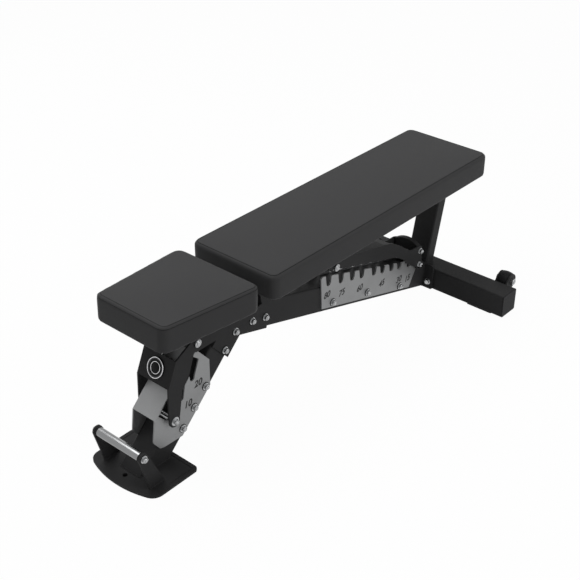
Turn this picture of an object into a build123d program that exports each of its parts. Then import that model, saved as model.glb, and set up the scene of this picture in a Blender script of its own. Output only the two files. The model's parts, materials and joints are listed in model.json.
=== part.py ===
from build123d import *
from math import atan2, cos, degrees, hypot, radians, sin, sqrt, tan
import os

# Adjustable weight bench: a seat and a back pad on one hinge, each held up by a hooked prop
# whose cross pin drops into notches on the frame. Lengths in mm, angles in degrees.
# +X runs to the head end, +Z up, and the origin is on the floor under the middle of the bench.
# In side views distances run from the hinge line, positive towards the head end.
# Left and right are those of someone sitting on the bench and facing the foot plate.

# ---- Pads and hinge ----
back_pad_length = 996.0
seat_pad_length = 315.0
pad_width = 300.0
seat_nose_width = 246.0
pad_thickness = 70.0
pad_corner = 24.0
pad_edge = 9.0
pad_lead = 55.0            # how far the back pad runs on in front of the hinge line
pad_gap = 48.0             # between the two pads
seat_pitch = 2.4           # nose-up slope of the lowered seat
board_thickness = 12.0
board_inset = 14.0
board_fit = 0.3            # gap all round a board in its pad
hinge_height = 386.0
pin_radius = 8.0
knuckle_radius = 11.0
knuckle_to_pad = 1.0
running = 0.05             # radial clearance of a turning pin
part_gap = 0.3             # between bodies that pass or rest on each other

# ---- Frame ----
front_reach = 505.0        # hinge line to the front tip of the foot plate
tube = 75.0
tube_wall = 3.0
tube_corner = 5.0
beam_depth = 81.0
beam_slope = 16.2
beam_mid = 282.8           # height of the beam's centre line under the hinge
corner_height = 331.0      # level top of the corner between post and beam
post_angle = 44.2
post_foot = 399.0          # hinge line to the post's centre at the foot plate
foot_rubber = 2.0
foot_plate = 6.0
foot_half_width = 125.0
foot_rear = 325.0
foot_nose_radius = 300.0
foot_corner = 15.0
foot_front_corner = 34.0
plate = 5.0                # plate of the hinge ears and of the seat frame
cap_plate = 3.0

# ---- Back ladder and prop ----
ladder_plate = 4.5
back_stops = (80, 72, 65, 59, 51, 45, 38, 31, 20)
back_pivot_reach = 321.0   # hinge line to the prop's pivot with the back level
back_pivot_drop = 90.0     # and how far below the hinge it is
back_pin_reach = 748.0     # hinge line to the prop's cross pin with the back level
back_pin_radius = 9.5
notch_radius = 10.2
notch_mouth = 29.0
notch_floor = 2.0          # notch bottoms above the beam
prop_plate = 4.0
prop_inner = 46.0          # half the space between the back prop's side plates
lug_plate = 5.0
spine_width = 70.0
spine_depth = 36.0
spine_wall = 2.5
cross_plate = 4.0

# ---- Seat ladder and prop ----
bracket_plate = 4.0
bracket_face = 64.0        # bracket's front web ahead of the post
seat_notch_gap = 58.4
seat_notch_rise = 11.1     # notch centres ahead of the post's front face
seat_first_notch = 132.2   # first notch from the foot plate, along the post
seat_tooth_low = 9.5       # first tooth's tip ahead of the notch centres
seat_tooth_high = 14.5     # and the window's edge at the last notch
seat_pivot_reach = 247.0
seat_pivot_drop = 55.0
seat_pin_radius = 8.0
seat_mouth_flare = 5.0
seat_axle_radius = 6.0
cheek_inner = 48.0         # half the space between the seat frame's cheeks
cheek_bottom = 299.0
swing_gap = 2.3            # between the back pad's swinging end and the seat frame

# ---- Rear foot ----
rear_tube_front = 806.0    # hinge line to the front of the cross tube
rear_half_width = 334.0
rear_rubber = 5.0
end_cap = 4.0
flange_plate = 8.0
flange_half_width = 72.0
upright_depth = 42.0
upright_lean = 13.0
rest_cap = 10.0
wheel_radius = 27.0
wheel_width = 30.0
wheel_height = 76.0
wheel_track = 275.0        # middle of each wheel from the middle of the bench
wheel_gap = 2.0
fork_plate = 5.0
fork_back = 3.0

# ---- Handle ----
handle_reach = 476.0
handle_height = 113.0
handle_radius = 12.5
handle_half = 77.5
handle_cap = 5.0
handle_plate = 6.0

# ---- Bolts ----
bolt_radius = 5.0
bolt_fit = 0.2
washer_radius = 10.5
washer_thick = 1.6
head_radius = 8.2
head_height = 6.5

os.makedirs("parts", exist_ok=True)

# ---- Values worked out from the ones above ----
hinge_x = (front_reach - back_pad_length + pad_lead) / 2
pad_base = hinge_height + knuckle_radius + knuckle_to_pad
seat_rear = -(pad_lead + pad_gap)
half_tube = tube / 2
foot_top = foot_rubber + foot_plate
beam_half = beam_depth / 2 / cos(radians(beam_slope))
beam_way = (cos(radians(beam_slope)), -sin(radians(beam_slope)))
post_way = (cos(radians(post_angle)), sin(radians(post_angle)))
mirror_sides = (("left", -1), ("right", 1))


# Side-view plane through y = face: local x from the hinge line, local y from the floor
def side(face=0.0):
    return Plane(origin=(hinge_x, face, 0), x_dir=(1, 0, 0), z_dir=(0, -1, 0))


# The same plane turned with the post: local x up the post's centre line, local y off its front face
def post_side(face=0.0):
    way = (post_way[0], 0, post_way[1])
    return Plane(origin=(hinge_x - post_foot, face, foot_top), x_dir=way, z_dir=(0, -1, 0))


# Level plane at a height, measured from the hinge line
def level(height):
    return Plane(origin=(hinge_x, 0, height), x_dir=(1, 0, 0), z_dir=(0, 0, 1))


# Plane along the seat's underside: local x runs forward from the pad's rear edge
def seat_level(height=0.0):
    lean = radians(seat_pitch)
    start = (hinge_x + seat_rear, 0, pad_base)
    base = Plane(origin=start, x_dir=(-cos(lean), 0, sin(lean)), z_dir=(sin(lean), 0, cos(lean)))
    return base.offset(height)


# Face towards +Y of a plate that lies from inner to inner + thick on one side of the bench
def plate_face(hand, inner, thick):
    return inner + thick if hand > 0 else -inner


def beam_top(x):
    return beam_mid + beam_half - x * tan(radians(beam_slope))


def beam_under(x):
    return beam_mid - beam_half - x * tan(radians(beam_slope))


# Point of the side view that lies s up the post's centre line and n ahead of it
def on_post(s, n):
    return (-post_foot + s * post_way[0] - n * post_way[1], foot_top + s * post_way[1] + n * post_way[0])


# Where two lines of the side view cross, each given by a point and a direction
def crossing(a, u, b, v):
    t = ((b[0] - a[0]) * v[1] - (b[1] - a[1]) * v[0]) / (u[0] * v[1] - u[1] * v[0])
    return (a[0] + t * u[0], a[1] + t * u[1])


# Where a line parallel to the post, n ahead of its centre, crosses a given height
def post_at(n, height):
    return crossing(on_post(0, n), post_way, (0, height), (1, 0))


# A point turned about another one
def turned(point, centre, angle):
    dx, dz = point[0] - centre[0], point[1] - centre[1]
    c, s = cos(radians(angle)), sin(radians(angle))
    return (centre[0] + dx * c - dz * s, centre[1] + dx * s + dz * c)


def save(builder, name):
    builder.part.label = name
    export_step(builder.part, f"parts/{name}.step")


# A polygon of the open sketch
def outline(*points, mode=Mode.ADD):
    with BuildLine() as edge:
        Polyline(*points, close=True)
    make_face(edge.edges(), mode=mode)


# Through bolts along Y: shank, two washers and two hexagons, seated on plates whose outer faces are at
# plus and minus the given face
def through_bolts(points, face):
    with BuildSketch(side(face + washer_thick)) as shanks:
        with Locations(*points):
            Circle(bolt_radius)
    extrude(shanks.sketch, amount=2 * (face + washer_thick))
    with BuildSketch(side(-face)) as washers:
        with Locations(*points):
            Circle(washer_radius)
    extrude(washers.sketch, amount=washer_thick)
    with BuildSketch(side(-face - washer_thick)) as heads:
        with Locations(*points):
            RegularPolygon(head_radius, 6)
    extrude(heads.sketch, amount=head_height)
    mirror(about=Plane.XZ)


# Bolt holes across the whole open part
def bolt_holes(points):
    with BuildSketch(side(tube)) as holes:
        with Locations(*points):
            Circle(bolt_radius + bolt_fit)
    extrude(holes.sketch, amount=2 * tube, mode=Mode.SUBTRACT)


# Square tube around the local x axis of an end plane
def tube_section(width, depth, wall, corner=tube_corner):
    RectangleRounded(width, depth, corner)
    RectangleRounded(width - 2 * wall, depth - 2 * wall, corner - wall / 2, mode=Mode.SUBTRACT)


# =============================== Frame ===============================
# The post's front and rear lines and the beam's top and underside meet in a mitre, cut off level above
post_front = (on_post(0, half_tube), post_way)
post_rear = (on_post(0, -half_tube), post_way)
mitre_inner = crossing(*post_rear, (0, beam_under(0)), beam_way)
mitre_outer = crossing(*post_front, (0, beam_top(0)), beam_way)
corner_top = corner_height - cap_plate
hinge = (0.0, hinge_height)

hinge_bolts = [(-133, 242), (-91, 280), (-26, 281), (26, 268)]
ladder_bolts = [(319, 176), (487, 131), (657, 75)]
bracket_spots = [(246, -19.5), (184, -19.5), (122, -19.5)]     # up the post, then ahead of its centre line
bracket_bolts = [on_post(*spot) for spot in bracket_spots]


# Plane through the mitre, its normal towards the beam
def mitre_plane():
    run = (mitre_outer[0] - mitre_inner[0], mitre_outer[1] - mitre_inner[1])
    start = (hinge_x + mitre_inner[0], 0, mitre_inner[1])
    return Plane(origin=start, x_dir=(0, 1, 0), z_dir=(run[1], 0, -run[0]))


# Rubber sheet under the foot plate
def foot_outline(inset, mode=Mode.ADD):
    rear = -foot_rear - inset
    half = foot_half_width - inset
    radius = foot_nose_radius - inset
    nose = -front_reach + inset
    shoulder = nose + radius - sqrt(radius ** 2 - half ** 2)
    with BuildLine() as edge:
        Polyline((shoulder, half), (rear, half), (rear, -half), (shoulder, -half))
        ThreePointArc((shoulder, -half), (nose, 0), (shoulder, half))
    make_face(edge.edges(), mode=mode)


# Rounds the two rear corners and, more widely, the two beside the nose
def round_foot(plan, inset):
    fillet(plan.vertices().sort_by(Axis.X)[-2:], foot_corner - inset)
    fillet(plan.vertices().sort_by(Axis.X)[:2], foot_front_corner - inset)


foot_inset = 4.0
foot_hole_radius = 7.0
foot_hole_reach = 470.0
groove_inset = 11.0          # shallow groove behind the rear edge and along both sides of the plate
groove_width = 3.0
groove_depth = 1.0
groove_length = 90.0
with BuildPart() as foot_rubber_sheet:
    with BuildSketch(level(0)) as sheet_plan:
        foot_outline(foot_inset)
        round_foot(sheet_plan, foot_inset)
        with Locations((-foot_hole_reach, 0)):
            Circle(foot_hole_radius + 1, mode=Mode.SUBTRACT)
    extrude(amount=foot_rubber)
save(foot_rubber_sheet, "foot_rubber_sheet")

# Steel foot plate with one fixing hole behind its rounded nose
with BuildPart() as front_foot_plate:
    with BuildSketch(level(foot_rubber)) as foot_plan:
        foot_outline(0)
        round_foot(foot_plan, 0)
        with Locations((-foot_hole_reach, 0)):
            Circle(foot_hole_radius, mode=Mode.SUBTRACT)
    extrude(amount=foot_plate)
    with BuildSketch(level(foot_top)) as groove:
        foot_outline(groove_inset)
        foot_outline(groove_inset + groove_width, mode=Mode.SUBTRACT)
        with Locations((-foot_rear - groove_length / 2, 0)):
            Rectangle(groove_length, 2 * foot_half_width, mode=Mode.INTERSECT)
    extrude(groove.sketch, amount=-groove_depth, mode=Mode.SUBTRACT)
save(front_foot_plate, "front_foot_plate")

# Leaning front post
post_length = 520.0
with BuildPart() as front_post:
    foot_centre = (hinge_x - post_foot, 0, foot_top)
    way = (post_way[0], 0, post_way[1])
    with BuildSketch(Plane(origin=foot_centre, x_dir=(0, 1, 0), z_dir=way).offset(-tube)):
        tube_section(tube, tube, tube_wall)
    extrude(amount=post_length)
    split(bisect_by=Plane.XY.offset(foot_top), keep=Keep.TOP)
    split(bisect_by=Plane.XY.offset(corner_top), keep=Keep.BOTTOM)
    split(bisect_by=mitre_plane(), keep=Keep.BOTTOM)
    bolt_holes(bracket_bolts + hinge_bolts[:2])
save(front_post, "front_post")

# Main beam, running down from the mitre to the rear flange
with BuildPart() as main_beam:
    rear_end = rear_tube_front - flange_plate
    way = (beam_way[0], 0, beam_way[1])
    start = Plane(origin=(hinge_x, 0, beam_mid), x_dir=(0, 1, 0), z_dir=way)
    with BuildSketch(start.offset(-3 * tube)):
        tube_section(tube, beam_depth, tube_wall)
    extrude(amount=3 * tube + 1.2 * rear_end)
    split(bisect_by=mitre_plane(), keep=Keep.TOP)
    split(bisect_by=Plane.XY.offset(corner_top), keep=Keep.BOTTOM)
    split(bisect_by=Plane.YZ.offset(hinge_x + rear_end), keep=Keep.BOTTOM)
    bolt_holes(hinge_bolts[1:] + ladder_bolts)
save(main_beam, "main_beam")

# Level cap welded over the cut corner
with BuildPart() as corner_cap:
    cap_front = post_at(half_tube, corner_top)[0]
    cap_rear = crossing((0, beam_top(0)), beam_way, (0, corner_top), (1, 0))[0]
    with BuildSketch(level(corner_top)):
        with Locations(((cap_front + cap_rear) / 2, 0)):
            Rectangle(cap_rear - cap_front, tube)
    extrude(amount=cap_plate)
save(corner_cap, "corner_cap")

# Hinge ears: plates over the corner's sides that rise to carry the hinge pin
ear_radius = 10.5
ear_lap = 7.0              # past the post's rear face
ear_drop = 2.0             # below the beam
ear_tail = 30.0            # rear end of the plate
ear_tip_height = 214.0
ear_front_height = 275.0
under = (0, beam_under(0) - ear_drop)
tail_way = (-beam_way[1], beam_way[0])
tail_low = crossing((ear_tail, beam_under(ear_tail) - ear_drop), beam_way, (ear_tail, 0), (0, 1))
tail_high = crossing(tail_low, tail_way, (0, beam_top(0) + ear_drop), beam_way)
for hand_name, hand in mirror_sides:
    with BuildPart() as hinge_ear:
        with BuildSketch(side(plate_face(hand, half_tube, plate))) as ear_view:
            outline(
                post_at(half_tube, ear_front_height),
                post_at(-half_tube - ear_lap, ear_tip_height),
                crossing(on_post(0, -half_tube - ear_lap), post_way, under, beam_way),
                tail_low,
                tail_high,
                (-ear_radius + 2, corner_height),
                post_at(half_tube, corner_height),
            )
            outline(
                (-ear_radius + 2, corner_height - 5),
                tail_high,
                (ear_radius, hinge_height),
                (-ear_radius, hinge_height),
            )
            with Locations(hinge):
                Circle(ear_radius)
            with Locations(*hinge_bolts):
                Circle(bolt_radius + bolt_fit, mode=Mode.SUBTRACT)
            with Locations(hinge):
                Circle(pin_radius + running, mode=Mode.SUBTRACT)
        extrude(amount=plate)
    save(hinge_ear, f"hinge_ear_{hand_name}")

with BuildPart() as hinge_ear_bolts:
    through_bolts(hinge_bolts, half_tube + plate)
save(hinge_ear_bolts, "hinge_ear_bolts")

# Hinge pin with a collar between each ear and the seat frame, and a head outside the seat frame
collar_start = half_tube + plate
cheek_outer = cheek_inner + plate
with BuildPart() as hinge_pin:
    with BuildSketch(side(cheek_outer + part_gap)):
        with Locations(hinge):
            Circle(pin_radius)
    extrude(amount=2 * (cheek_outer + part_gap))
    collar_length = cheek_inner - part_gap - collar_start
    for start, thick in ((collar_start, collar_length), (cheek_outer + part_gap, plate)):
        with BuildSketch(side(-start)):
            with Locations(hinge):
                Circle(knuckle_radius)
        extrude(amount=thick)
    mirror(about=Plane.XZ)
save(hinge_pin, "hinge_pin")


# Height of a notch's pin when it is seated on the back ladder
def seated_height(x):
    return beam_top(x) + notch_floor + notch_radius


# Each notch lies where the prop's pin meets the ladder with the back at that angle
back_pivot = (back_pivot_reach, hinge_height - back_pivot_drop)
back_pin_rise = (back_pin_radius + part_gap) / cos(radians(beam_slope))
back_pin = (back_pin_reach, beam_top(back_pin_reach) + back_pin_rise)
back_prop_length = hypot(back_pin[0] - back_pivot[0], back_pin[1] - back_pivot[1])


def notch_x(angle):
    px, pz = turned(back_pivot, hinge, angle)
    slope = -tan(radians(beam_slope))
    a = 1 + slope ** 2
    b = slope * (seated_height(0) - pz) - px
    c = px ** 2 + (seated_height(0) - pz) ** 2 - back_prop_length ** 2
    return (-b + sqrt(b ** 2 - a * c)) / a


notch_xs = [notch_x(angle) for angle in back_stops]

# Back ladders: toothed plates on both sides of the beam
ladder_front = 264.0
ladder_rear = 743.0
ladder_tooth_front = 285.0   # height of the first tooth's tip
ladder_tooth_slope = 0.32
ladder_foot_gap = 12.0       # ladder's lower edge above the beam's underside


def tooth_top(x):
    return ladder_tooth_front - ladder_tooth_slope * (x - ladder_front)


def ladder_foot(x):
    return beam_under(x) + ladder_foot_gap


# A notch and its mouth, which opens straight up
def back_notch(x):
    with BuildSketch(Plane.XY, mode=Mode.PRIVATE) as cut:
        with Locations((x, seated_height(x))):
            Circle(notch_radius)
        with Locations((x, tooth_top(x) + notch_radius)):
            Rectangle(notch_mouth, 1)
        make_hull()
    add(cut.sketch_local, mode=Mode.SUBTRACT)


last_tooth = notch_xs[-1] + notch_mouth / 2 + 8
ladder_nose = 9.0            # rounding of the upper front corner
tooth_rounding = 2.5
for hand_name, hand in mirror_sides:
    with BuildPart() as back_ladder:
        with BuildSketch(side(plate_face(hand, half_tube, ladder_plate))) as ladder_view:
            outline(
                (ladder_front + 5, ladder_foot(ladder_front + 5)),
                (ladder_rear - 34, ladder_foot(ladder_rear - 34)),
                (ladder_rear, beam_top(ladder_rear) - 6),
                (last_tooth, tooth_top(last_tooth)),
                (ladder_front, tooth_top(ladder_front)),
            )
            for x in notch_xs:
                back_notch(x)
            tips = [v for v in ladder_view.vertices() if abs(v.Y - tooth_top(v.X)) < 0.01]
            fillet([v for v in tips if v.X > ladder_front + 1], tooth_rounding)
            fillet(ladder_view.vertices().sort_by(Axis.X)[:2].sort_by(Axis.Y)[-1], ladder_nose)
            with Locations(*ladder_bolts):
                Circle(bolt_radius + bolt_fit, mode=Mode.SUBTRACT)
        extrude(amount=ladder_plate)
    save(back_ladder, f"back_ladder_{hand_name}")

with BuildPart() as back_ladder_bolts:
    through_bolts(ladder_bolts, half_tube + ladder_plate)
save(back_ladder_bolts, "back_ladder_bolts")

# Seat ladder: a bent channel round the front of the post, with a notched window in each flange.
# Its outline is drawn along the post: first the distance up the post, then ahead of its centre line.
web_outer = half_tube + bracket_face
web_inner = web_outer - bracket_plate
notch_line = half_tube + seat_notch_rise
seat_notches = [(seat_first_notch + i * seat_notch_gap, notch_line) for i in range(3)]
bracket_low = 109.0
bracket_high = 318.0
flange_reach = half_tube - 2.5     # the flanges end just short of the post's rear corners
upright_way = (post_way[1], post_way[0])
window_low = seat_notches[0][0] - 9
window_high = bracket_high - 20


# A notch and its mouth, which opens straight up
def seat_notch(s, n):
    mouth = (s + 33 * upright_way[0] + 2 * post_way[0], n + 33 * upright_way[1] - 2 * post_way[1])
    with BuildSketch(Plane.XY, mode=Mode.PRIVATE) as cut:
        with Locations((s, n)):
            Circle(seat_pin_radius + part_gap)
        with Locations(mouth):
            Circle(seat_pin_radius + seat_mouth_flare)
        make_hull()
    add(cut.sketch_local, mode=Mode.SUBTRACT)


with BuildPart() as seat_ladder:
    for hand_name, hand in mirror_sides:
        with BuildSketch(post_side(plate_face(hand, half_tube, bracket_plate))) as flange_view:
            outline(
                (bracket_low, web_outer), (56, 60), (51, 25), (59, 12),
                (104, -flange_reach), (256, -flange_reach), (313, 23), (bracket_high, web_outer),
            )
            outer_low = flange_view.vertices().sort_by(Axis.X)[:2]
            fillet(outer_low, 14)
            outline(
                (window_low, web_inner), (window_low, notch_line + seat_tooth_low),
                (seat_notches[2][0], notch_line + seat_tooth_high), (seat_notches[2][0] + 6, notch_line - 5),
                (window_high + 3, notch_line + 15.5),
                (window_high, web_inner), mode=Mode.SUBTRACT,
            )
            for s, n in seat_notches:
                seat_notch(s, n)
            with Locations(*bracket_spots):
                Circle(bolt_radius + bolt_fit, mode=Mode.SUBTRACT)
        extrude(amount=bracket_plate)
    with BuildSketch(post_side(half_tube + bracket_plate)):
        with Locations(((bracket_low + bracket_high) / 2, (web_inner + web_outer) / 2)):
            Rectangle(bracket_high - bracket_low, bracket_plate)
    extrude(amount=2 * (half_tube + bracket_plate))
save(seat_ladder, "seat_ladder")

with BuildPart() as seat_ladder_bolts:
    through_bolts(bracket_bolts, half_tube + bracket_plate)
save(seat_ladder_bolts, "seat_ladder_bolts")

# Flange on the beam's rear end, bolted to the cross tube on both sides of the beam
flange_low = 7.0
flange_high = 94.0
flange_bolt_half = 55.0
flange_bolt_height = 33.0
flange_bolt_spots = [(-flange_bolt_half, flange_bolt_height), (flange_bolt_half, flange_bolt_height)]
rear_face = Plane(origin=(hinge_x + rear_tube_front, 0, 0), x_dir=(0, 1, 0), z_dir=(1, 0, 0))
with BuildPart() as rear_flange:
    with BuildSketch(rear_face.offset(-flange_plate)):
        with Locations((0, (flange_low + flange_high) / 2)):
            RectangleRounded(2 * flange_half_width, flange_high - flange_low, 6)
        with Locations(*flange_bolt_spots):
            Circle(bolt_radius + bolt_fit, mode=Mode.SUBTRACT)
    extrude(amount=flange_plate)
save(rear_flange, "rear_flange")

flange_bolt_reach = 18.0
with BuildPart() as rear_flange_bolts:
    front = rear_face.offset(-flange_plate)
    with BuildSketch(front.offset(-washer_thick)):
        with Locations(*flange_bolt_spots):
            Circle(bolt_radius)
    extrude(amount=washer_thick + flange_bolt_reach)
    with BuildSketch(front):
        with Locations(*flange_bolt_spots):
            Circle(washer_radius)
    extrude(amount=-washer_thick)
    with BuildSketch(front.offset(-washer_thick)):
        with Locations(*flange_bolt_spots):
            RegularPolygon(head_radius, 6)
    extrude(amount=-head_height)
save(rear_flange_bolts, "rear_flange_bolts")

# Rear cross tube with a plastic cap pushed into each end
cross_centre = (hinge_x + rear_tube_front + half_tube, 0, rear_rubber + half_tube)
cross_half = rear_half_width - end_cap
plug_depth = 18.0
plug_wall = 2.5
cross_end = Plane(origin=cross_centre, x_dir=(1, 0, 0), z_dir=(0, 1, 0))
with BuildPart() as rear_cross_tube:
    with BuildSketch(cross_end):
        tube_section(tube, tube, tube_wall)
    extrude(amount=cross_half, both=True)
    with BuildSketch(rear_face.offset(-1)):
        with Locations(*flange_bolt_spots):
            Circle(bolt_radius + bolt_fit)
    extrude(amount=tube_wall + 2, mode=Mode.SUBTRACT)
save(rear_cross_tube, "rear_cross_tube")

for hand_name, hand in mirror_sides:
    with BuildPart() as rear_end_cap:
        with BuildSketch(cross_end.offset(hand * cross_half)):
            RectangleRounded(tube, tube, tube_corner)
        extrude(amount=hand * end_cap)
        chamfer(rear_end_cap.faces().sort_by(Axis.Y)[-1 if hand > 0 else 0].edges(), 1)
        with BuildSketch(cross_end.offset(hand * cross_half)):
            tube_section(tube - 2 * tube_wall, tube - 2 * tube_wall, plug_wall, tube_corner - tube_wall / 2)
        extrude(amount=-hand * plug_depth)
    save(rear_end_cap, f"rear_end_cap_{hand_name}")

foot_start = 200.0
foot_length = 90.0
foot_margin = 6.0
foot_middle = foot_start + foot_length / 2
with BuildPart() as rear_feet:
    with BuildSketch(level(0)):
        with Locations(*[(rear_tube_front + half_tube, hand * foot_middle) for _, hand in mirror_sides]):
            RectangleRounded(tube - 2 * foot_margin, foot_length, 4)
    extrude(amount=rear_rubber)
save(rear_feet, "rear_feet")

# Upright that stands on the cross tube, leaning to the head end, and the rest that it carries
cross_top = rear_rubber + tube
spine_bottom = pad_base - cross_plate - spine_depth
rest_top = spine_bottom - part_gap
upright_top = rest_top - rest_cap
lean_tan = tan(radians(upright_lean))
upright_run = upright_depth / cos(radians(upright_lean))


def upright_front(height):
    return rear_tube_front + (height - cross_top) * lean_tan


with BuildPart() as rear_upright:
    way = (sin(radians(upright_lean)), 0, cos(radians(upright_lean)))
    start = (hinge_x + upright_front(cross_top) + upright_run / 2, 0, cross_top)
    with BuildSketch(Plane(origin=start, x_dir=(0, 1, 0), z_dir=way).offset(-tube)):
        tube_section(tube, upright_depth, tube_wall)
    extrude(amount=upright_top + tube)
    split(bisect_by=Plane.XY.offset(cross_top), keep=Keep.TOP)
    split(bisect_by=Plane.XY.offset(upright_top), keep=Keep.BOTTOM)
save(rear_upright, "rear_upright")

with BuildPart() as upright_rest:
    with BuildSketch(level(upright_top)):
        with Locations((upright_front(upright_top) + upright_run / 2, 0)):
            RectangleRounded(upright_run, tube, 4)
    extrude(amount=rest_cap)
save(upright_rest, "upright_rest")

# Transport wheels behind the cross tube: a fork, an axle and a wheel on each side
fork_inner = wheel_width / 2 + part_gap + 1.2
fork_radius = wheel_radius - 3
cross_rear = rear_tube_front + tube
axle = (cross_rear + fork_back + wheel_gap + wheel_radius, wheel_height)
fork_low = 22.0
fork_high = cross_top - tube_corner
axle_radius = 6.0
axle_head = 8.0
for hand_name, hand in mirror_sides:
    middle = hand * wheel_track
    with BuildPart() as wheel_fork:
        for near in (middle - fork_inner, middle + fork_inner + fork_plate):
            with BuildSketch(side(near)):
                with Locations(axle):
                    Circle(fork_radius)
                with Locations((cross_rear + 1, (fork_low + fork_high) / 2)):
                    Rectangle(2, fork_high - fork_low)
                make_hull()
                with Locations(axle):
                    Circle(axle_radius + running, mode=Mode.SUBTRACT)
            extrude(amount=fork_plate)
        with BuildSketch(side(middle + fork_inner)):
            with Locations((cross_rear + fork_back / 2, (fork_low + fork_high) / 2)):
                Rectangle(fork_back, fork_high - fork_low)
        extrude(amount=2 * fork_inner)
    save(wheel_fork, f"wheel_fork_{hand_name}")

    # Wheel with a rounded tread, recessed sides and a hub
    rim = wheel_radius - 5
    hub = axle_radius + 5
    half = wheel_width / 2
    recess = 5.0
    bore = axle_radius + running
    with BuildPart() as wheel:
        wheel_centre = (hinge_x + axle[0], middle, axle[1])
        with BuildSketch(Plane(origin=wheel_centre, x_dir=(1, 0, 0), z_dir=(0, 0, 1))):
            with BuildLine():
                Polyline(
                    (bore, half), (hub, half), (hub, half - recess), (rim, half - recess),
                    (rim, half), (wheel_radius - 2, half),
                )
                ThreePointArc((wheel_radius - 2, half), (wheel_radius, 0), (wheel_radius - 2, -half))
                Polyline(
                    (wheel_radius - 2, -half), (rim, -half), (rim, recess - half), (hub, recess - half),
                    (hub, -half), (bore, -half), (bore, half),
                )
            make_face()
        revolve(axis=Axis(wheel_centre, (0, 1, 0)))
    save(wheel, f"wheel_{hand_name}")

# Axles of both wheels, a hexagon at each end
fork_outer = fork_inner + fork_plate
with BuildPart() as wheel_axles:
    for _, hand in mirror_sides:
        middle = hand * wheel_track
        with BuildSketch(side(middle + fork_outer)):
            with Locations(axle):
                Circle(axle_radius)
        extrude(amount=2 * fork_outer)
        for face in (middle - fork_outer, middle + fork_outer + axle_head):
            with BuildSketch(side(face)):
                with Locations(axle):
                    RegularPolygon(axle_radius + 5, 6)
            extrude(amount=axle_head)
save(wheel_axles, "wheel_axles")

# ---- Lifting handle on the foot plate ----
handle_spot = (-handle_reach, handle_height)
stay_inner = handle_half + handle_cap
stay_radius = 15.0
stay_front = 464.0
stay_rear = 415.0
for hand_name, hand in mirror_sides:
    with BuildPart() as handle_stay:
        with BuildSketch(side(plate_face(hand, stay_inner, handle_plate))):
            with Locations(handle_spot):
                Circle(stay_radius)
            with Locations((-(stay_front + stay_rear) / 2, foot_top + 1)):
                Rectangle(stay_front - stay_rear, 2)
            make_hull()
            with Locations(handle_spot):
                Circle(bolt_radius + bolt_fit, mode=Mode.SUBTRACT)
        extrude(amount=handle_plate)
    save(handle_stay, f"handle_stay_{hand_name}")

with BuildPart() as handle_bar:
    with BuildSketch(side(0)):
        with Locations(handle_spot):
            Circle(handle_radius)
            Circle(bolt_radius + bolt_fit, mode=Mode.SUBTRACT)
    extrude(amount=handle_half, both=True)
save(handle_bar, "handle_bar")

with BuildPart() as handle_caps:
    with BuildSketch(side(-handle_half)):
        with Locations(handle_spot):
            Circle(handle_radius + 1.5)
            Circle(bolt_radius + bolt_fit, mode=Mode.SUBTRACT)
    extrude(amount=handle_cap)
    mirror(about=Plane.XZ)
save(handle_caps, "handle_caps")

with BuildPart() as handle_bolts:
    through_bolts([handle_spot], stay_inner + handle_plate)
save(handle_bolts, "handle_bolts")

# =============================== Seat ===============================
nose_half = seat_nose_width / 2


# Seat outline in plan, its rear edge at local x = 0, drawn in by an inset
def seat_plan(inset):
    corner = pad_corner - inset / 2
    with BuildSketch(Plane.XY, mode=Mode.PRIVATE) as plan:
        outline(
            (inset, pad_width / 2 - inset), (inset, inset - pad_width / 2),
            (seat_pad_length - inset, inset - nose_half), (seat_pad_length - inset, nose_half - inset),
        )
        fillet(plan.vertices(), corner)
    add(plan.sketch_local)


# Screws through the deck and the cross plates that end inside the boards
screw_radius = 3.0
screw_fit = 0.2
screw_depth = 8.0
screw_head = 6.0
screw_washer = 1.5
seat_screws = [(x, y) for x in (70.0, 210.0) for y in (-30.0, 30.0)]

with BuildPart() as seat_pad:
    with BuildSketch(seat_level()):
        seat_plan(0)
    extrude(amount=pad_thickness)
    fillet(seat_pad.faces().sort_by(Axis.Z)[-1].edges(), pad_edge)
    with BuildSketch(seat_level()):
        seat_plan(board_inset - board_fit)
    extrude(amount=board_thickness + board_fit, mode=Mode.SUBTRACT)
save(seat_pad, "seat_pad")

with BuildPart() as seat_board:
    with BuildSketch(seat_level()):
        seat_plan(board_inset)
    extrude(amount=board_thickness)
    with BuildSketch(seat_level()):
        with Locations(*seat_screws):
            Circle(screw_radius + screw_fit)
    extrude(amount=screw_depth + 1, mode=Mode.SUBTRACT)
save(seat_board, "seat_board")

# Deck plate under the board, the cheeks' upper edges against it
deck_plate = 4.0
deck_rear = 12.0
deck_front = 262.0
with BuildPart() as seat_deck:
    with BuildSketch(seat_level()):
        with Locations(((deck_rear + deck_front) / 2, 0)):
            RectangleRounded(deck_front - deck_rear, 2 * cheek_outer, 4)
        with Locations(*seat_screws):
            Circle(screw_radius + screw_fit, mode=Mode.SUBTRACT)
    extrude(amount=-deck_plate)
save(seat_deck, "seat_deck")

with BuildPart() as seat_screw_set:
    with BuildSketch(seat_level(-deck_plate - screw_washer)):
        with Locations(*seat_screws):
            Circle(screw_radius)
    extrude(amount=deck_plate + screw_washer + screw_depth)
    with BuildSketch(seat_level(-deck_plate)):
        with Locations(*seat_screws):
            Circle(screw_radius + 5)
    extrude(amount=-screw_washer)
    with BuildSketch(seat_level(-deck_plate - screw_washer)):
        with Locations(*seat_screws):
            RegularPolygon(screw_radius + 3, 6)
    extrude(amount=-screw_head)
save(seat_screw_set, "seat_screws")

# Cheeks: side plates under the seat that reach back below the swing of the back pad's end, as a
# gooseneck, to the shared hinge pin
seat_pivot = (-seat_pivot_reach, hinge_height - seat_pivot_drop)
swing_radius = hypot(pad_lead, knuckle_radius + knuckle_to_pad + pad_thickness) + swing_gap
seat_rise = tan(radians(seat_pitch))


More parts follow.
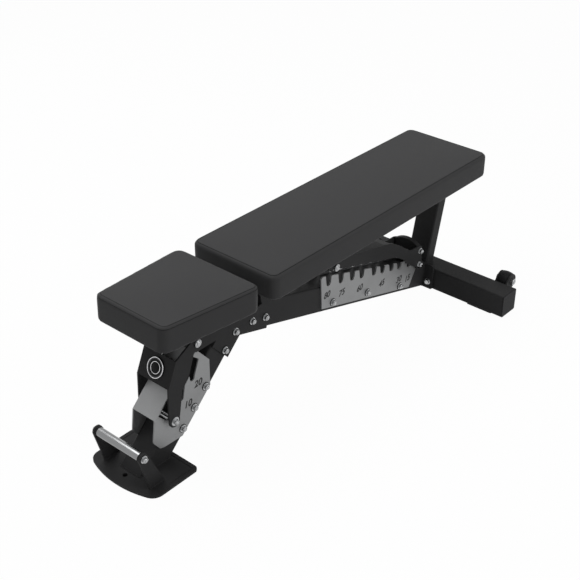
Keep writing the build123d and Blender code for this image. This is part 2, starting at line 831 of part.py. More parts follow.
# Height of the cheeks' upper edge, against the deck plate's underside
def deck_under(x):
    return pad_base - deck_plate / cos(radians(seat_pitch)) + (seat_rear - x) * seat_rise


deck_over_hinge = deck_under(0) - hinge_height
swing_x = (deck_over_hinge * seat_rise
           - sqrt((1 + seat_rise ** 2) * swing_radius ** 2 - deck_over_hinge ** 2)) / (1 + seat_rise ** 2)
swing_top = (swing_x, deck_under(swing_x))
swing_top_angle = degrees(atan2(swing_top[1] - hinge_height, swing_x))
swing_low_angle = 225.0


def on_swing(angle):
    return (swing_radius * cos(radians(angle)), hinge_height + swing_radius * sin(radians(angle)))


cheek_nose = seat_rear - deck_front + 6
neck_front = 2.0            # front of the ear's leg at its foot
neck_drop = 60.0            # how far under the hinge the strap's upper edge meets the leg
for hand_name, hand in mirror_sides:
    with BuildPart() as seat_cheek:
        with BuildSketch(side(plate_face(hand, cheek_inner, plate))) as cheek_view:
            with BuildLine():
                upper = Line((cheek_nose, deck_under(cheek_nose)), swing_top)
                swing_middle = on_swing((swing_top_angle + swing_low_angle) / 2)
                swing = ThreePointArc(upper @ 1, swing_middle, on_swing(swing_low_angle))
                Polyline(
                    swing @ 1,
                    (neck_front - 5, hinge_height - neck_drop),
                    (neck_front, hinge_height - neck_drop),
                    (-ear_radius, hinge_height),
                    (ear_radius, hinge_height),
                    (2 * ear_radius + 1, cheek_bottom),
                    (seat_pivot[0], cheek_bottom),
                    (seat_pivot[0] - 26, seat_pivot[1] - 6),
                    upper @ 0,
                )
            make_face()
            with Locations(hinge):
                Circle(ear_radius)
            with Locations(hinge):
                Circle(pin_radius + running, mode=Mode.SUBTRACT)
            with Locations(seat_pivot):
                Circle(seat_axle_radius + running, mode=Mode.SUBTRACT)
        extrude(amount=plate)
    save(seat_cheek, f"seat_cheek_{hand_name}")

# Axle of the seat prop, through the cheeks
seat_prop_plate = 5.0
seat_prop_inner = cheek_outer + part_gap
seat_prop_outer = seat_prop_inner + seat_prop_plate
axle_cap_radius = 11.0
axle_cap_height = 5.0
with BuildPart() as seat_prop_axle:
    with BuildSketch(side(seat_prop_outer + part_gap)):
        with Locations(seat_pivot):
            Circle(seat_axle_radius)
    extrude(amount=2 * (seat_prop_outer + part_gap))
    with BuildSketch(side(-seat_prop_outer - part_gap)):
        with Locations(seat_pivot):
            Circle(axle_cap_radius)
    extrude(amount=axle_cap_height)
    mirror(about=Plane.XZ)
save(seat_prop_axle, "seat_prop_axle")

# ---- Seat prop: two cheeks and a sloping web, with the cross pin at its foot ----
seat_pin = on_post(*seat_notches[0])
prop_boss = 18.0


# Points of the seat prop, from its pivot and from its pin
def by_pivot(x, z):
    return (seat_pivot[0] + x, seat_pivot[1] + z)


def by_pin(x, z):
    return (seat_pin[0] + x, seat_pin[1] + z)


prop_web_low = by_pivot(-106, -90)
prop_web_high = by_pivot(-75, -20)
for hand_name, hand in mirror_sides:
    with BuildPart() as seat_prop:
        with BuildSketch(side(plate_face(hand, seat_prop_inner, seat_prop_plate))):
            outline(
                by_pivot(14, -11), by_pivot(-13, -28), by_pivot(-33, -84), by_pin(32, 79),
                by_pin(prop_boss, 6), by_pin(-prop_boss, 2), by_pin(-18, 38),
                prop_web_low, prop_web_high, by_pivot(-8, 16),
            )
            with Locations(seat_pivot, seat_pin):
                Circle(prop_boss)
            with Locations(seat_pivot):
                Circle(seat_axle_radius + running, mode=Mode.SUBTRACT)
            with Locations(seat_pin):
                Circle(seat_pin_radius + running, mode=Mode.SUBTRACT)
        extrude(amount=seat_prop_plate)
    save(seat_prop, f"seat_prop_{hand_name}")

web_run = hypot(prop_web_high[0] - prop_web_low[0], prop_web_high[1] - prop_web_low[1])
web_way = ((prop_web_high[0] - prop_web_low[0]) / web_run, (prop_web_high[1] - prop_web_low[1]) / web_run)
web_middle = ((prop_web_low[0] + prop_web_high[0]) / 2, (prop_web_low[1] + prop_web_high[1]) / 2)
prop_face = Plane(
    origin=(hinge_x + web_middle[0], 0, web_middle[1]),
    x_dir=(0, 1, 0),
    z_dir=(-web_way[1], 0, web_way[0]),
)
plug_radius = 22.5
ring_radius = 29.0
ring_height = 4.0
with BuildPart() as seat_prop_web:
    with BuildSketch(prop_face):
        Rectangle(2 * seat_prop_inner, web_run)
    extrude(amount=-seat_prop_plate)
save(seat_prop_web, "seat_prop_web")

with BuildPart() as seat_prop_ring:
    with BuildSketch(prop_face):
        Circle(ring_radius)
        Circle(plug_radius + board_fit, mode=Mode.SUBTRACT)
    extrude(amount=ring_height)
save(seat_prop_ring, "seat_prop_ring")

with BuildPart() as seat_prop_plug:
    with BuildSketch(prop_face):
        Circle(plug_radius)
    extrude(amount=ring_height - 1)
save(seat_prop_plug, "seat_prop_plug")

with BuildPart() as seat_prop_pin:
    with BuildSketch(side(seat_prop_outer)):
        with Locations(seat_pin):
            Circle(seat_pin_radius)
    extrude(amount=2 * seat_prop_outer)
    with BuildSketch(side(-seat_prop_outer)):
        with Locations(seat_pin):
            Circle(washer_radius + 2)
    extrude(amount=washer_thick)
    with BuildSketch(side(-seat_prop_outer - washer_thick)):
        with Locations(seat_pin):
            RegularPolygon(head_radius, 6)
    extrude(amount=head_height)
    mirror(about=Plane.XZ)
save(seat_prop_pin, "seat_prop_pin")

# =============================== Back ===============================
back_rear = back_pad_length - pad_lead
back_middle = (back_rear - pad_lead) / 2
back_screw_rows = (110.0, 470.0, 830.0)
back_screws = [(x, y) for x in back_screw_rows for y in (-95.0, 95.0)]


def back_plan(inset):
    with Locations((back_middle, 0)):
        RectangleRounded(back_pad_length - 2 * inset, pad_width - 2 * inset, pad_corner - inset / 2)


with BuildPart() as back_pad:
    with BuildSketch(level(pad_base)):
        back_plan(0)
    extrude(amount=pad_thickness)
    fillet(back_pad.faces().sort_by(Axis.Z)[-1].edges(), pad_edge)
    with BuildSketch(level(pad_base)):
        back_plan(board_inset - board_fit)
    extrude(amount=board_thickness + board_fit, mode=Mode.SUBTRACT)
save(back_pad, "back_pad")

with BuildPart() as back_board:
    with BuildSketch(level(pad_base)):
        back_plan(board_inset)
    extrude(amount=board_thickness)
    with BuildSketch(level(pad_base)):
        with Locations(*back_screws):
            Circle(screw_radius + screw_fit)
    extrude(amount=screw_depth + 1, mode=Mode.SUBTRACT)
save(back_board, "back_board")

# Cross plates between the board and the spine, a pair of screws in each
cross_plate_width = 40.0
cross_plate_half = 120.0
with BuildPart() as back_cross_plates:
    with BuildSketch(level(pad_base - cross_plate)):
        with Locations(*[(x, 0) for x in back_screw_rows]):
            RectangleRounded(cross_plate_width, 2 * cross_plate_half, 6)
        with Locations(*back_screws):
            Circle(screw_radius + screw_fit, mode=Mode.SUBTRACT)
    extrude(amount=cross_plate)
save(back_cross_plates, "back_cross_plates")

with BuildPart() as back_screw_set:
    under = pad_base - cross_plate
    with BuildSketch(level(under - screw_washer)):
        with Locations(*back_screws):
            Circle(screw_radius)
    extrude(amount=cross_plate + screw_washer + screw_depth)
    with BuildSketch(level(under)):
        with Locations(*back_screws):
            Circle(screw_radius + 5)
    extrude(amount=-screw_washer)
    with BuildSketch(level(under - screw_washer)):
        with Locations(*back_screws):
            RegularPolygon(screw_radius + 3, 6)
    extrude(amount=-screw_head)
save(back_screw_set, "back_screws")

# Spine tube from the hinge bracket to behind the rest
spine_front = 39.0
spine_rear = 905.0
spine_top = pad_base - cross_plate
with BuildPart() as back_spine:
    start = (hinge_x + spine_front, 0, spine_top - spine_depth / 2)
    with BuildSketch(Plane(origin=start, x_dir=(0, 1, 0), z_dir=(1, 0, 0))):
        tube_section(spine_width, spine_depth, spine_wall, 4)
    extrude(amount=spine_rear - spine_front)
save(back_spine, "back_spine")

# Hinge bracket: the knuckle tube, two arms and an end plate over the spine's mouth
knuckle_half = half_tube - 0.7
arm_plate = 6.0
end_plate = 4.0
with BuildPart() as back_knuckle:
    with BuildSketch(side(0)):
        with Locations(hinge):
            Circle(knuckle_radius)
    extrude(amount=knuckle_half, both=True)
    for start in (knuckle_half, -knuckle_half + arm_plate):
        with BuildSketch(side(start)):
            with Locations(hinge):
                Circle(knuckle_radius)
            with Locations((spine_front - end_plate / 2, (spine_top + spine_bottom) / 2 + 2)):
                Rectangle(end_plate, spine_depth - 4)
            make_hull()
        extrude(amount=arm_plate)
    with BuildSketch(side(knuckle_half)):
        with Locations((spine_front - end_plate / 2, spine_top - spine_depth / 2)):
            Rectangle(end_plate, spine_depth)
    extrude(amount=2 * knuckle_half)
    with BuildSketch(side(tube)):
        with Locations(hinge):
            Circle(pin_radius + running)
    extrude(amount=2 * tube, mode=Mode.SUBTRACT)
save(back_knuckle, "back_knuckle")

# Lugs welded to the spine's sides that carry the back prop
lug_inner = spine_width / 2
lug_outer = lug_inner + lug_plate
lug_radius = 17.0
lug_rise = 26.0
back_axle_radius = 7.0
for hand_name, hand in mirror_sides:
    with BuildPart() as back_lug:
        with BuildSketch(side(plate_face(hand, lug_inner, lug_plate))):
            with Locations(back_pivot):
                Circle(lug_radius)
            with Locations((back_pivot[0], spine_bottom + lug_rise / 2)):
                Rectangle(2 * lug_radius + 4, lug_rise)
            make_hull()
            with Locations(back_pivot):
                Circle(back_axle_radius + running, mode=Mode.SUBTRACT)
        extrude(amount=lug_plate)
    save(back_lug, f"back_lug_{hand_name}")

prop_outer = prop_inner + prop_plate
with BuildPart() as back_prop_axle:
    with BuildSketch(side(prop_outer + part_gap)):
        with Locations(back_pivot):
            Circle(back_axle_radius)
    extrude(amount=2 * (prop_outer + part_gap))
    for start, radius, thick in (
        (lug_outer, back_axle_radius + 4, prop_inner - part_gap - lug_outer),
        (prop_outer + part_gap, back_axle_radius + 4, axle_cap_height),
    ):
        with BuildSketch(side(-start)):
            with Locations(back_pivot):
                Circle(radius)
        extrude(amount=thick)
    mirror(about=Plane.XZ)
save(back_prop_axle, "back_prop_axle")

# ---- Back prop: two hooked side plates, a top web, an arched bridge and the cross pin ----
prop_boss_radius = 17.0


# Points of the back prop, from its pivot and from its pin
def near_pivot(x, z):
    return (back_pivot[0] + x, back_pivot[1] + z)


def near_pin(x, z):
    return (back_pin[0] + x, back_pin[1] + z)


arm_front = near_pivot(-25, 29)
arm_top = near_pin(-185, 150)
neck_top = near_pin(-150, 139)
bridge_half = 8.0            # half the bridge's thickness
bridge_bolt = near_pin(0, 48)
bridge_bolt_depth = 14.0
for hand_name, hand in mirror_sides:
    with BuildPart() as back_prop:
        with BuildSketch(side(plate_face(hand, prop_inner, prop_plate))) as prop_view:
            outline(
                near_pivot(-33, 3), near_pin(-193, 100), near_pin(-136, 83), near_pin(-109, 68),
                near_pin(-81, 49), near_pin(-62, 25), near_pin(-prop_boss_radius, -3),
                near_pin(12, -12), near_pin(13, 7), near_pin(10, 62), near_pin(-8, 68),
                near_pin(-40, 69), near_pin(-62, 74), near_pin(-100, 107), neck_top, arm_top, arm_front,
            )
            with Locations(bridge_bolt):
                Circle(bolt_radius + bolt_fit, mode=Mode.SUBTRACT)
            with Locations(back_pin):
                Circle(prop_boss_radius)
            with Locations(back_pivot):
                Circle(back_axle_radius + running, mode=Mode.SUBTRACT)
            with Locations(back_pin):
                Circle(back_pin_radius + running, mode=Mode.SUBTRACT)
        extrude(amount=prop_plate)
    save(back_prop, f"back_prop_{hand_name}")

web_front = 29.0             # from the pivot to the web's front edge
web_drop = 4.3               # web below the side plates' upper edges
web_depth = 4.2
arm_slope = (arm_top[1] - arm_front[1]) / (arm_top[0] - arm_front[0])
web_start = (back_pivot[0] + web_front, arm_front[1] + (back_pivot[0] + web_front - arm_front[0]) * arm_slope)
with BuildPart() as back_prop_web:
    with BuildSketch(side(prop_inner)):
        upper = [(x, z - web_drop) for x, z in (web_start, arm_top, neck_top)]
        outline(*upper, *[(x, z - web_depth) for x, z in reversed(upper)])
    extrude(amount=2 * prop_inner)
save(back_prop_web, "back_prop_web")

# Arch between the side plates over the pin, with a bolt into each end
bridge_low = back_pin[1] + 32
bridge_high = back_pin[1] + 64
bridge_arch = 10.0           # rise of its underside
bridge_crown = 15.0          # and of its top
with BuildPart() as back_prop_bridge:
    bridge_plane = Plane(origin=(hinge_x + back_pin[0], 0, 0), x_dir=(0, 1, 0), z_dir=(1, 0, 0))
    with BuildSketch(bridge_plane):
        with BuildLine():
            ThreePointArc((-prop_inner, bridge_low), (0, bridge_low + bridge_arch), (prop_inner, bridge_low))
            Line((prop_inner, bridge_low), (prop_inner, bridge_high))
            crown = (0, bridge_high + bridge_crown)
            ThreePointArc((prop_inner, bridge_high), crown, (-prop_inner, bridge_high))
            Line((-prop_inner, bridge_high), (-prop_inner, bridge_low))
        make_face()
    extrude(amount=bridge_half, both=True)
    with BuildSketch(side(-prop_inner)) as bolt_hole:
        with Locations(bridge_bolt):
            Circle(bolt_radius + bolt_fit)
    extrude(bolt_hole.sketch, amount=-bridge_bolt_depth - 1, mode=Mode.SUBTRACT)
    mirrored = bolt_hole.sketch.mirror(Plane.XZ)
    extrude(mirrored, amount=bridge_bolt_depth + 1, dir=(0, -1, 0), mode=Mode.SUBTRACT)
save(back_prop_bridge, "back_prop_bridge")

with BuildPart() as bridge_bolts:
    with BuildSketch(side(-prop_outer - washer_thick)):
        with Locations(bridge_bolt):
            Circle(bolt_radius)
    extrude(amount=-prop_plate - washer_thick - bridge_bolt_depth)
    with BuildSketch(side(-prop_outer)):
        with Locations(bridge_bolt):
            Circle(washer_radius)
    extrude(amount=washer_thick)
    with BuildSketch(side(-prop_outer - washer_thick)):
        with Locations(bridge_bolt):
            RegularPolygon(head_radius, 6)
    extrude(amount=head_height)
    mirror(about=Plane.XZ)
save(bridge_bolts, "back_prop_bridge_bolts")

with BuildPart() as back_prop_pin:
    with BuildSketch(side(prop_outer)):
        with Locations(back_pin):
            Circle(back_pin_radius)
    extrude(amount=2 * prop_outer)
    with BuildSketch(side(-prop_outer)):
        with Locations(back_pin):
            Circle(washer_radius + 2)
    extrude(amount=washer_thick)
    with BuildSketch(side(-prop_outer - washer_thick)):
        with Locations(back_pin):
            RegularPolygon(head_radius, 6)
    extrude(amount=head_height)
    mirror(about=Plane.XZ)
save(back_prop_pin, "back_prop_pin")
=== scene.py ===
import json
import math

import bmesh
import bpy
import numpy as np
from mathutils import Matrix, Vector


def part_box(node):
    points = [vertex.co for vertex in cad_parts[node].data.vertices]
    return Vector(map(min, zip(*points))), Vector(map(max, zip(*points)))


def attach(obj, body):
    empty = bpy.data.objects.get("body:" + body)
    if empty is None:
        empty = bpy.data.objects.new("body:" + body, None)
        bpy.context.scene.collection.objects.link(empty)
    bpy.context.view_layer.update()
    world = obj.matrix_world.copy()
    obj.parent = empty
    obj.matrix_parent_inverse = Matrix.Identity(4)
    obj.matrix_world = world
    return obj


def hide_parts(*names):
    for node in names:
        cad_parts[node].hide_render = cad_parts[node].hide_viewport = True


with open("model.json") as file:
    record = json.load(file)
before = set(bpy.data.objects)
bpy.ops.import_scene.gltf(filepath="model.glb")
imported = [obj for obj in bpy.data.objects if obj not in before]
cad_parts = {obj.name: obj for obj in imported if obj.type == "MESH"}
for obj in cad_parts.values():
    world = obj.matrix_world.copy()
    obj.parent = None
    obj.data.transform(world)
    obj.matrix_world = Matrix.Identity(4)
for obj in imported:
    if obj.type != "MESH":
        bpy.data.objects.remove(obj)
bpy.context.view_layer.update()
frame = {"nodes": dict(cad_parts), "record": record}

scene = bpy.context.scene
mm = 0.001
print("frame loaded:", len(frame["nodes"]), "nodes")


def link(ob):
    scene.collection.objects.link(ob)
    return ob


def meshFrom(name, points, faces, smooth=True):
    mesh = bpy.data.meshes.new(name)
    mesh.from_pydata(points.tolist(), [], faces.tolist())
    mesh.polygons.foreach_set("use_smooth", np.full(len(mesh.polygons), smooth))
    mesh.update()
    return link(bpy.data.objects.new(name, mesh))


def joined(name, parts):
    # one mesh from several (points, faces) pairs
    points, faces = zip(*parts)
    starts = np.cumsum([0] + [len(group) for group in points[:-1]])
    faces = [group + start for group, start in zip(faces, starts)]
    return meshFrom(name, np.concatenate(points), np.concatenate(faces))


def dress(ob, material, body):
    ob.data.materials.clear()
    ob.data.materials.append(material)
    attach(ob, body)


def coordinates(mesh):
    co = np.empty(len(mesh.vertices) * 3, np.float32)
    mesh.vertices.foreach_get("co", co)
    return co.reshape(-1, 3).astype(float)


def moveTo(mesh, co):
    mesh.vertices.foreach_set("co", co.astype(np.float32).ravel())
    mesh.update()


def nodePoints(name):
    return coordinates(frame["nodes"][name].data)


def bodyOf(name):
    bodies = frame["record"]["behaviour"]["bodies"]
    return next(body for body, nodes in bodies.items() if name in nodes)


# shader helpers: each one adds nodes to the tree that it is given
def feed(tree, socket, value):
    # a socket is linked from another one or set to a plain value
    if isinstance(value, bpy.types.NodeSocket):
        tree.links.new(value, socket)
    else:
        socket.default_value = value


def newNode(tree, kind, values):
    node = tree.nodes.new(kind)
    for label, value in values.items():
        feed(tree, node.inputs[label], value)
    return node


def mathNode(tree, operation, *values, clamp=False):
    node = tree.nodes.new("ShaderNodeMath")
    node.operation, node.use_clamp = operation, clamp
    for socket, value in zip(node.inputs, values):
        feed(tree, socket, value)
    return node.outputs[0]


def noiseNode(tree, vector, scale, detail, rough):
    values = {"Vector": vector, "Scale": scale, "Detail": detail, "Roughness": rough}
    return newNode(tree, "ShaderNodeTexNoise", values).outputs["Fac"]


def centred(tree, noise):
    # a noise that varies about a half, moved to vary about zero
    return mathNode(tree, "SUBTRACT", noise, 0.5)


def mixColour(tree, factor, a, b):
    node = tree.nodes.new("ShaderNodeMix")
    node.data_type = "RGBA"
    for label, value in (("Factor", factor), ("A", a), ("B", b)):
        feed(tree, node.inputs[label], value)
    return node.outputs["Result"]


def brightened(tree, tone, value):
    return newNode(tree, "ShaderNodeHueSaturation", {"Color": tone, "Value": value}).outputs["Color"]


def objectSpace(tree):
    return tree.nodes.new("ShaderNodeTexCoord").outputs["Object"]


# shader groups that several finishes share
def newGroup(name, inputs):
    tree = bpy.data.node_groups.new(name, "ShaderNodeTree")
    outputs = {"Colour": "Color", "Roughness": "Float", "Height": "Float"}
    for way, sockets in (("INPUT", inputs), ("OUTPUT", outputs)):
        for label, kind in sockets.items():
            tree.interface.new_socket(name=label, in_out=way, socket_type="NodeSocket" + kind)
    return tree, tree.nodes.new("NodeGroupInput"), tree.nodes.new("NodeGroupOutput")


def makeCoatGroup():
    # fine orange-peel of a sprayed coat: a small noise for the height, a broad one for tone and gloss
    tree, source, sink = newGroup("sprayedCoat", {"Tone": "Color", "Lift": "Float", "Grain": "Float",
                                                  "Gloss": "Float", "Spread": "Float"})
    given = source.outputs
    peel = noiseNode(tree, objectSpace(tree), given["Grain"], detail=3, rough=0.55)
    cloud = noiseNode(tree, objectSpace(tree), scale=9.0, detail=3, rough=0.6)
    patch = mathNode(tree, "MULTIPLY", centred(tree, cloud), given["Lift"])
    speck = mathNode(tree, "MULTIPLY", centred(tree, peel), given["Lift"])
    value = mathNode(tree, "ADD", mathNode(tree, "ADD", patch, speck), 1.0)
    gloss = mathNode(tree, "MULTIPLY_ADD", centred(tree, cloud), given["Spread"], given["Gloss"])
    feed(tree, sink.inputs["Colour"], brightened(tree, given["Tone"], value))
    feed(tree, sink.inputs["Roughness"], gloss)
    feed(tree, sink.inputs["Height"], peel)
    return tree


def makeBrushGroup():
    # drawn or turned metal: noise scaled by its own factor along each axis, so that streaks run along the axis
    # with the smallest factor
    tree, source, sink = newGroup("drawnMetal", {"Tone": "Color", "Gloss": "Float", "Stretch": "Vector",
                                                 "Depth": "Float"})
    given = source.outputs
    smearSpread = 0.18                                  # how far its gloss varies
    scaled = tree.nodes.new("ShaderNodeVectorMath")
    scaled.operation = "MULTIPLY"
    feed(tree, scaled.inputs[0], objectSpace(tree))
    feed(tree, scaled.inputs[1], given["Stretch"])
    streak = noiseNode(tree, scaled.outputs[0], scale=1.0, detail=4, rough=0.6)
    smear = noiseNode(tree, objectSpace(tree), scale=60.0, detail=2, rough=0.5)
    value = mathNode(tree, "MULTIPLY_ADD", centred(tree, streak), given["Depth"], 1.0)
    gloss = mathNode(tree, "MULTIPLY_ADD", centred(tree, smear), smearSpread, given["Gloss"])
    feed(tree, sink.inputs["Colour"], brightened(tree, given["Tone"], value))
    feed(tree, sink.inputs["Roughness"], gloss)
    feed(tree, sink.inputs["Height"], streak)
    return tree


def newMaterial(name, values):
    material = bpy.data.materials.new(name)
    material.use_nodes = True
    tree = material.node_tree
    shader = tree.nodes["Principled BSDF"]
    for label, value in values.items():
        shader.inputs[label].default_value = value
    return material, tree, shader


def addBump(tree, shader, height, strength, distance):
    values = {"Strength": strength, "Distance": distance, "Height": height}
    feed(tree, shader.inputs["Normal"], newNode(tree, "ShaderNodeBump", values).outputs["Normal"])


def groupMaterial(name, group, groupValues, shaderValues, strength, distance):
    material, tree, shader = newMaterial(name, shaderValues)
    node = tree.nodes.new("ShaderNodeGroup")
    node.node_tree = group
    for label, value in groupValues.items():
        node.inputs[label].default_value = value
    feed(tree, shader.inputs["Base Color"], node.outputs["Colour"])
    feed(tree, shader.inputs["Roughness"], node.outputs["Roughness"])
    addBump(tree, shader, node.outputs["Height"], strength, distance)
    return material


coat, brush = makeCoatGroup(), makeBrushGroup()
finishes = {
    # material: its group and the group's values, the shader's own values, the bump's strength and distance
    "blackCoat": (coat, {"Tone": (0.031, 0.031, 0.0316, 1), "Lift": 0.3, "Grain": 750.0, "Gloss": 0.44,
                         "Spread": 0.12}, {"IOR": 1.12}, 0.18, 0.4 * mm),
    "silverCoat": (coat, {"Tone": (0.26, 0.263, 0.266, 1), "Lift": 0.35, "Grain": 1100.0, "Gloss": 0.45,
                          "Spread": 0.15}, {"Metallic": 0.55, "Specular IOR Level": 0.5}, 0.25, 0.3 * mm),
    "rubber": (coat, {"Tone": (0.012, 0.012, 0.012, 1), "Lift": 0.3, "Grain": 420.0, "Gloss": 0.72,
                      "Spread": 0.1}, {"IOR": 1.11}, 0.3, 0.5 * mm),
    "mouldedPlastic": (coat, {"Tone": (0.017, 0.017, 0.018, 1), "Lift": 0.2, "Grain": 1500.0, "Gloss": 0.4,
                              "Spread": 0.1}, {"IOR": 1.13}, 0.2, 0.3 * mm),
    # the seam cord's dark tone: partly its own darker thread, partly painted shade of the seam line
    "seamVinylShade": (coat, {"Tone": (0.009, 0.009, 0.0093, 1), "Lift": 0.3, "Grain": 900.0, "Gloss": 0.5,
                         "Spread": 0.1}, {"IOR": 1.2}, 0.2, 0.2 * mm),
    "zincPlate": (brush, {"Tone": (0.4, 0.405, 0.41, 1), "Gloss": 0.24, "Stretch": (700, 700, 700),
                          "Depth": 0.3}, {"Metallic": 1.0}, 0.12, 0.2 * mm),
    "chromeBar": (brush, {"Tone": (0.23, 0.233, 0.236, 1), "Gloss": 0.15, "Stretch": (900, 60, 900),
                          "Depth": 0.1}, {"Metallic": 1.0}, 0.05, 0.1 * mm),
    "brightTrim": (brush, {"Tone": (0.7, 0.7, 0.71, 1), "Gloss": 0.14, "Stretch": (400, 400, 400),
                           "Depth": 0.06}, {"Metallic": 1.0}, 0.04, 0.1 * mm),
    "darkTrim": (brush, {"Tone": (0.045, 0.045, 0.047, 1), "Gloss": 0.2, "Stretch": (400, 400, 400),
                         "Depth": 0.06}, {"Metallic": 1.0}, 0.04, 0.1 * mm),
}
materials = {name: groupMaterial(name, *look) for name, look in finishes.items()}

board = {"stretch": (9, 160, 160), "dark": (0.006, 0.0055, 0.005, 1), "light": (0.024, 0.021, 0.018, 1),
         "gloss": 0.55, "spread": 0.2, "shine": 0.3, "bump": 0.3, "depth": 0.4 * mm}
ink = {"grain": 900.0, "dark": (0.006, 0.006, 0.006, 1), "light": (0.012, 0.012, 0.012, 1),
       "gloss": 0.5, "spread": 0.1, "shine": 0.3}


def toneAndGloss(tree, shader, grain, look):
    # a noise moves the tone between two colours and the gloss over its spread
    tone = mixColour(tree, grain, look["dark"], look["light"])
    gloss = mathNode(tree, "MULTIPLY_ADD", grain, look["spread"], look["gloss"])
    feed(tree, shader.inputs["Base Color"], tone)
    feed(tree, shader.inputs["Roughness"], gloss)


def makeBoardMaterial():
    # black stained plywood: long grain along X under a thin stain
    material, tree, shader = newMaterial("stainedBoard", {"Specular IOR Level": board["shine"]})
    stretched = newNode(tree, "ShaderNodeMapping", {"Vector": objectSpace(tree), "Scale": board["stretch"]})
    grain = noiseNode(tree, stretched.outputs["Vector"], scale=1.0, detail=5, rough=0.65)
    toneAndGloss(tree, shader, grain, board)
    addBump(tree, shader, grain, board["bump"], board["depth"])
    return material


def makeNumberMaterial():
    material, tree, shader = newMaterial("printedNumber", {"Specular IOR Level": ink["shine"]})
    toneAndGloss(tree, shader, noiseNode(tree, objectSpace(tree), ink["grain"], detail=2, rough=0.5), ink)
    return material


vinyl = {
    "dark": (0.04, 0.04, 0.0408, 1), "light": (0.0465, 0.0465, 0.0473, 1), "gloss": 0.42, "spread": 0.1,
    "cells": 520.0, "pores": 1700.0, "cloud": 7.0,                              # scales of the grain
    "cellSteep": 4.0, "cellCap": 0.8, "cellRound": 0.3,                         # shape of the grain's cells
    # the seam's tone: the groove darkened towards a near black, partly the seam's own dark joint and partly
    # painted shade
    "seamDown": 1.5 * mm, "seamHalf": 2.2 * mm, "seamShadeShare": 0.85, "seamShadeTone": (0.003, 0.003, 0.003, 1),
    "stitchOff": 3.6 * mm, "stitchHalf": 0.6 * mm, "stitchPitch": 4.5 * mm, "stitchShare": 0.68,
    # heights of each, in bump distances
    "cellHigh": 0.5, "poreHigh": 0.25, "seamHigh": -5.0, "stitchHigh": 1.5, "bump": 0.35, "depth": 0.3 * mm,
}


def makeVinylMaterial():
    # soft grained vinyl: cells and pores from Object coordinates; the seam and its stitches follow the pad's
    # own UV map, whose u runs round the pad and v down its edge, both in metres
    material, tree, shader = newMaterial("grainedVinyl", {"IOR": 1.13})
    where = objectSpace(tree)
    cells = newNode(tree, "ShaderNodeTexVoronoi", {"Vector": where, "Scale": vinyl["cells"]})
    cells.feature = "DISTANCE_TO_EDGE"
    creases = mathNode(tree, "MULTIPLY", cells.outputs["Distance"], vinyl["cellSteep"])
    creases = mathNode(tree, "SMOOTH_MIN", creases, vinyl["cellCap"], vinyl["cellRound"])
    pores = noiseNode(tree, where, vinyl["pores"], detail=2, rough=0.6)
    cloud = noiseNode(tree, where, vinyl["cloud"], detail=3, rough=0.55)
    padMap = tree.nodes.new("ShaderNodeUVMap")
    padMap.uv_map = "padMap"
    along, down = newNode(tree, "ShaderNodeSeparateXYZ", {"Vector": padMap.outputs["UV"]}).outputs[:2]

    def band(middle, half):
        # one minus the distance from a line over its half width, never below zero
        away = mathNode(tree, "ABSOLUTE", mathNode(tree, "SUBTRACT", down, middle))
        return mathNode(tree, "SUBTRACT", 1.0, mathNode(tree, "DIVIDE", away, half), clamp=True)

    groove = band(vinyl["seamDown"], vinyl["seamHalf"])
    # stitches: a narrow band beside the seam, cut into dashes along the edge
    phase = mathNode(tree, "FRACT", mathNode(tree, "DIVIDE", along, vinyl["stitchPitch"]))
    dash = mathNode(tree, "LESS_THAN", phase, vinyl["stitchShare"])
    row = band(vinyl["seamDown"] + vinyl["stitchOff"], vinyl["stitchHalf"])
    stitch = mathNode(tree, "MULTIPLY", row, dash)
    tone = mixColour(tree, cloud, vinyl["dark"], vinyl["light"])
    # the groove's tone darkened: partly the seam's own dark joint, partly painted shade in the groove
    tone = mixColour(tree, mathNode(tree, "MULTIPLY", groove, vinyl["seamShadeShare"]), tone, vinyl["seamShadeTone"])
    gloss = mathNode(tree, "MULTIPLY_ADD", cloud, vinyl["spread"], vinyl["gloss"])
    feed(tree, shader.inputs["Base Color"], tone)
    feed(tree, shader.inputs["Roughness"], gloss)
    height = mathNode(tree, "MULTIPLY", creases, vinyl["cellHigh"])
    height = mathNode(tree, "MULTIPLY_ADD", pores, vinyl["poreHigh"], height)
    height = mathNode(tree, "MULTIPLY_ADD", groove, vinyl["seamHigh"], height)
    height = mathNode(tree, "MULTIPLY_ADD", stitch, vinyl["stitchHigh"], height)
    addBump(tree, shader, height, vinyl["bump"], vinyl["depth"])
    return material


materials["stainedBoard"] = makeBoardMaterial()
materials["printedNumber"] = makeNumberMaterial()
materials["grainedVinyl"] = makeVinylMaterial()
slotMaterial = {
    "vinyl": "grainedVinyl", "plywood": "stainedBoard", "silver_steel": "silverCoat", "zinc": "zincPlate",
    "bright_trim": "brightTrim", "chrome": "chromeBar", "rubber": "rubber", "black_plastic": "mouldedPlastic",
    "black_steel": "blackCoat",
}
for row in frame["record"]["subparts"]:
    node = frame["nodes"][row["node"]]
    finish = materials[slotMaterial[row["material_slot"]]]
    for materialSlot in node.material_slots:
        materialSlot.material = finish
    if not node.material_slots:
        node.data.materials.append(finish)
print("finishes made")

# camera, floor and light
viewpoint = {"place": (-2.05268, -1.75359, 1.9183), "azimuth": 48.92, "elevation": 31.76, "lens": 68.93,
             "sensor": 36.0, "farthest": 60}
camera = link(bpy.data.objects.new("camera", bpy.data.cameras.new("camera")))
camera.data.lens, camera.data.sensor_width = viewpoint["lens"], viewpoint["sensor"]
camera.data.clip_end = viewpoint["farthest"]
camera.location = viewpoint["place"]
camera.rotation_euler = (math.radians(90 - viewpoint["elevation"]), 0, math.radians(-viewpoint["azimuth"]))
scene.camera = camera

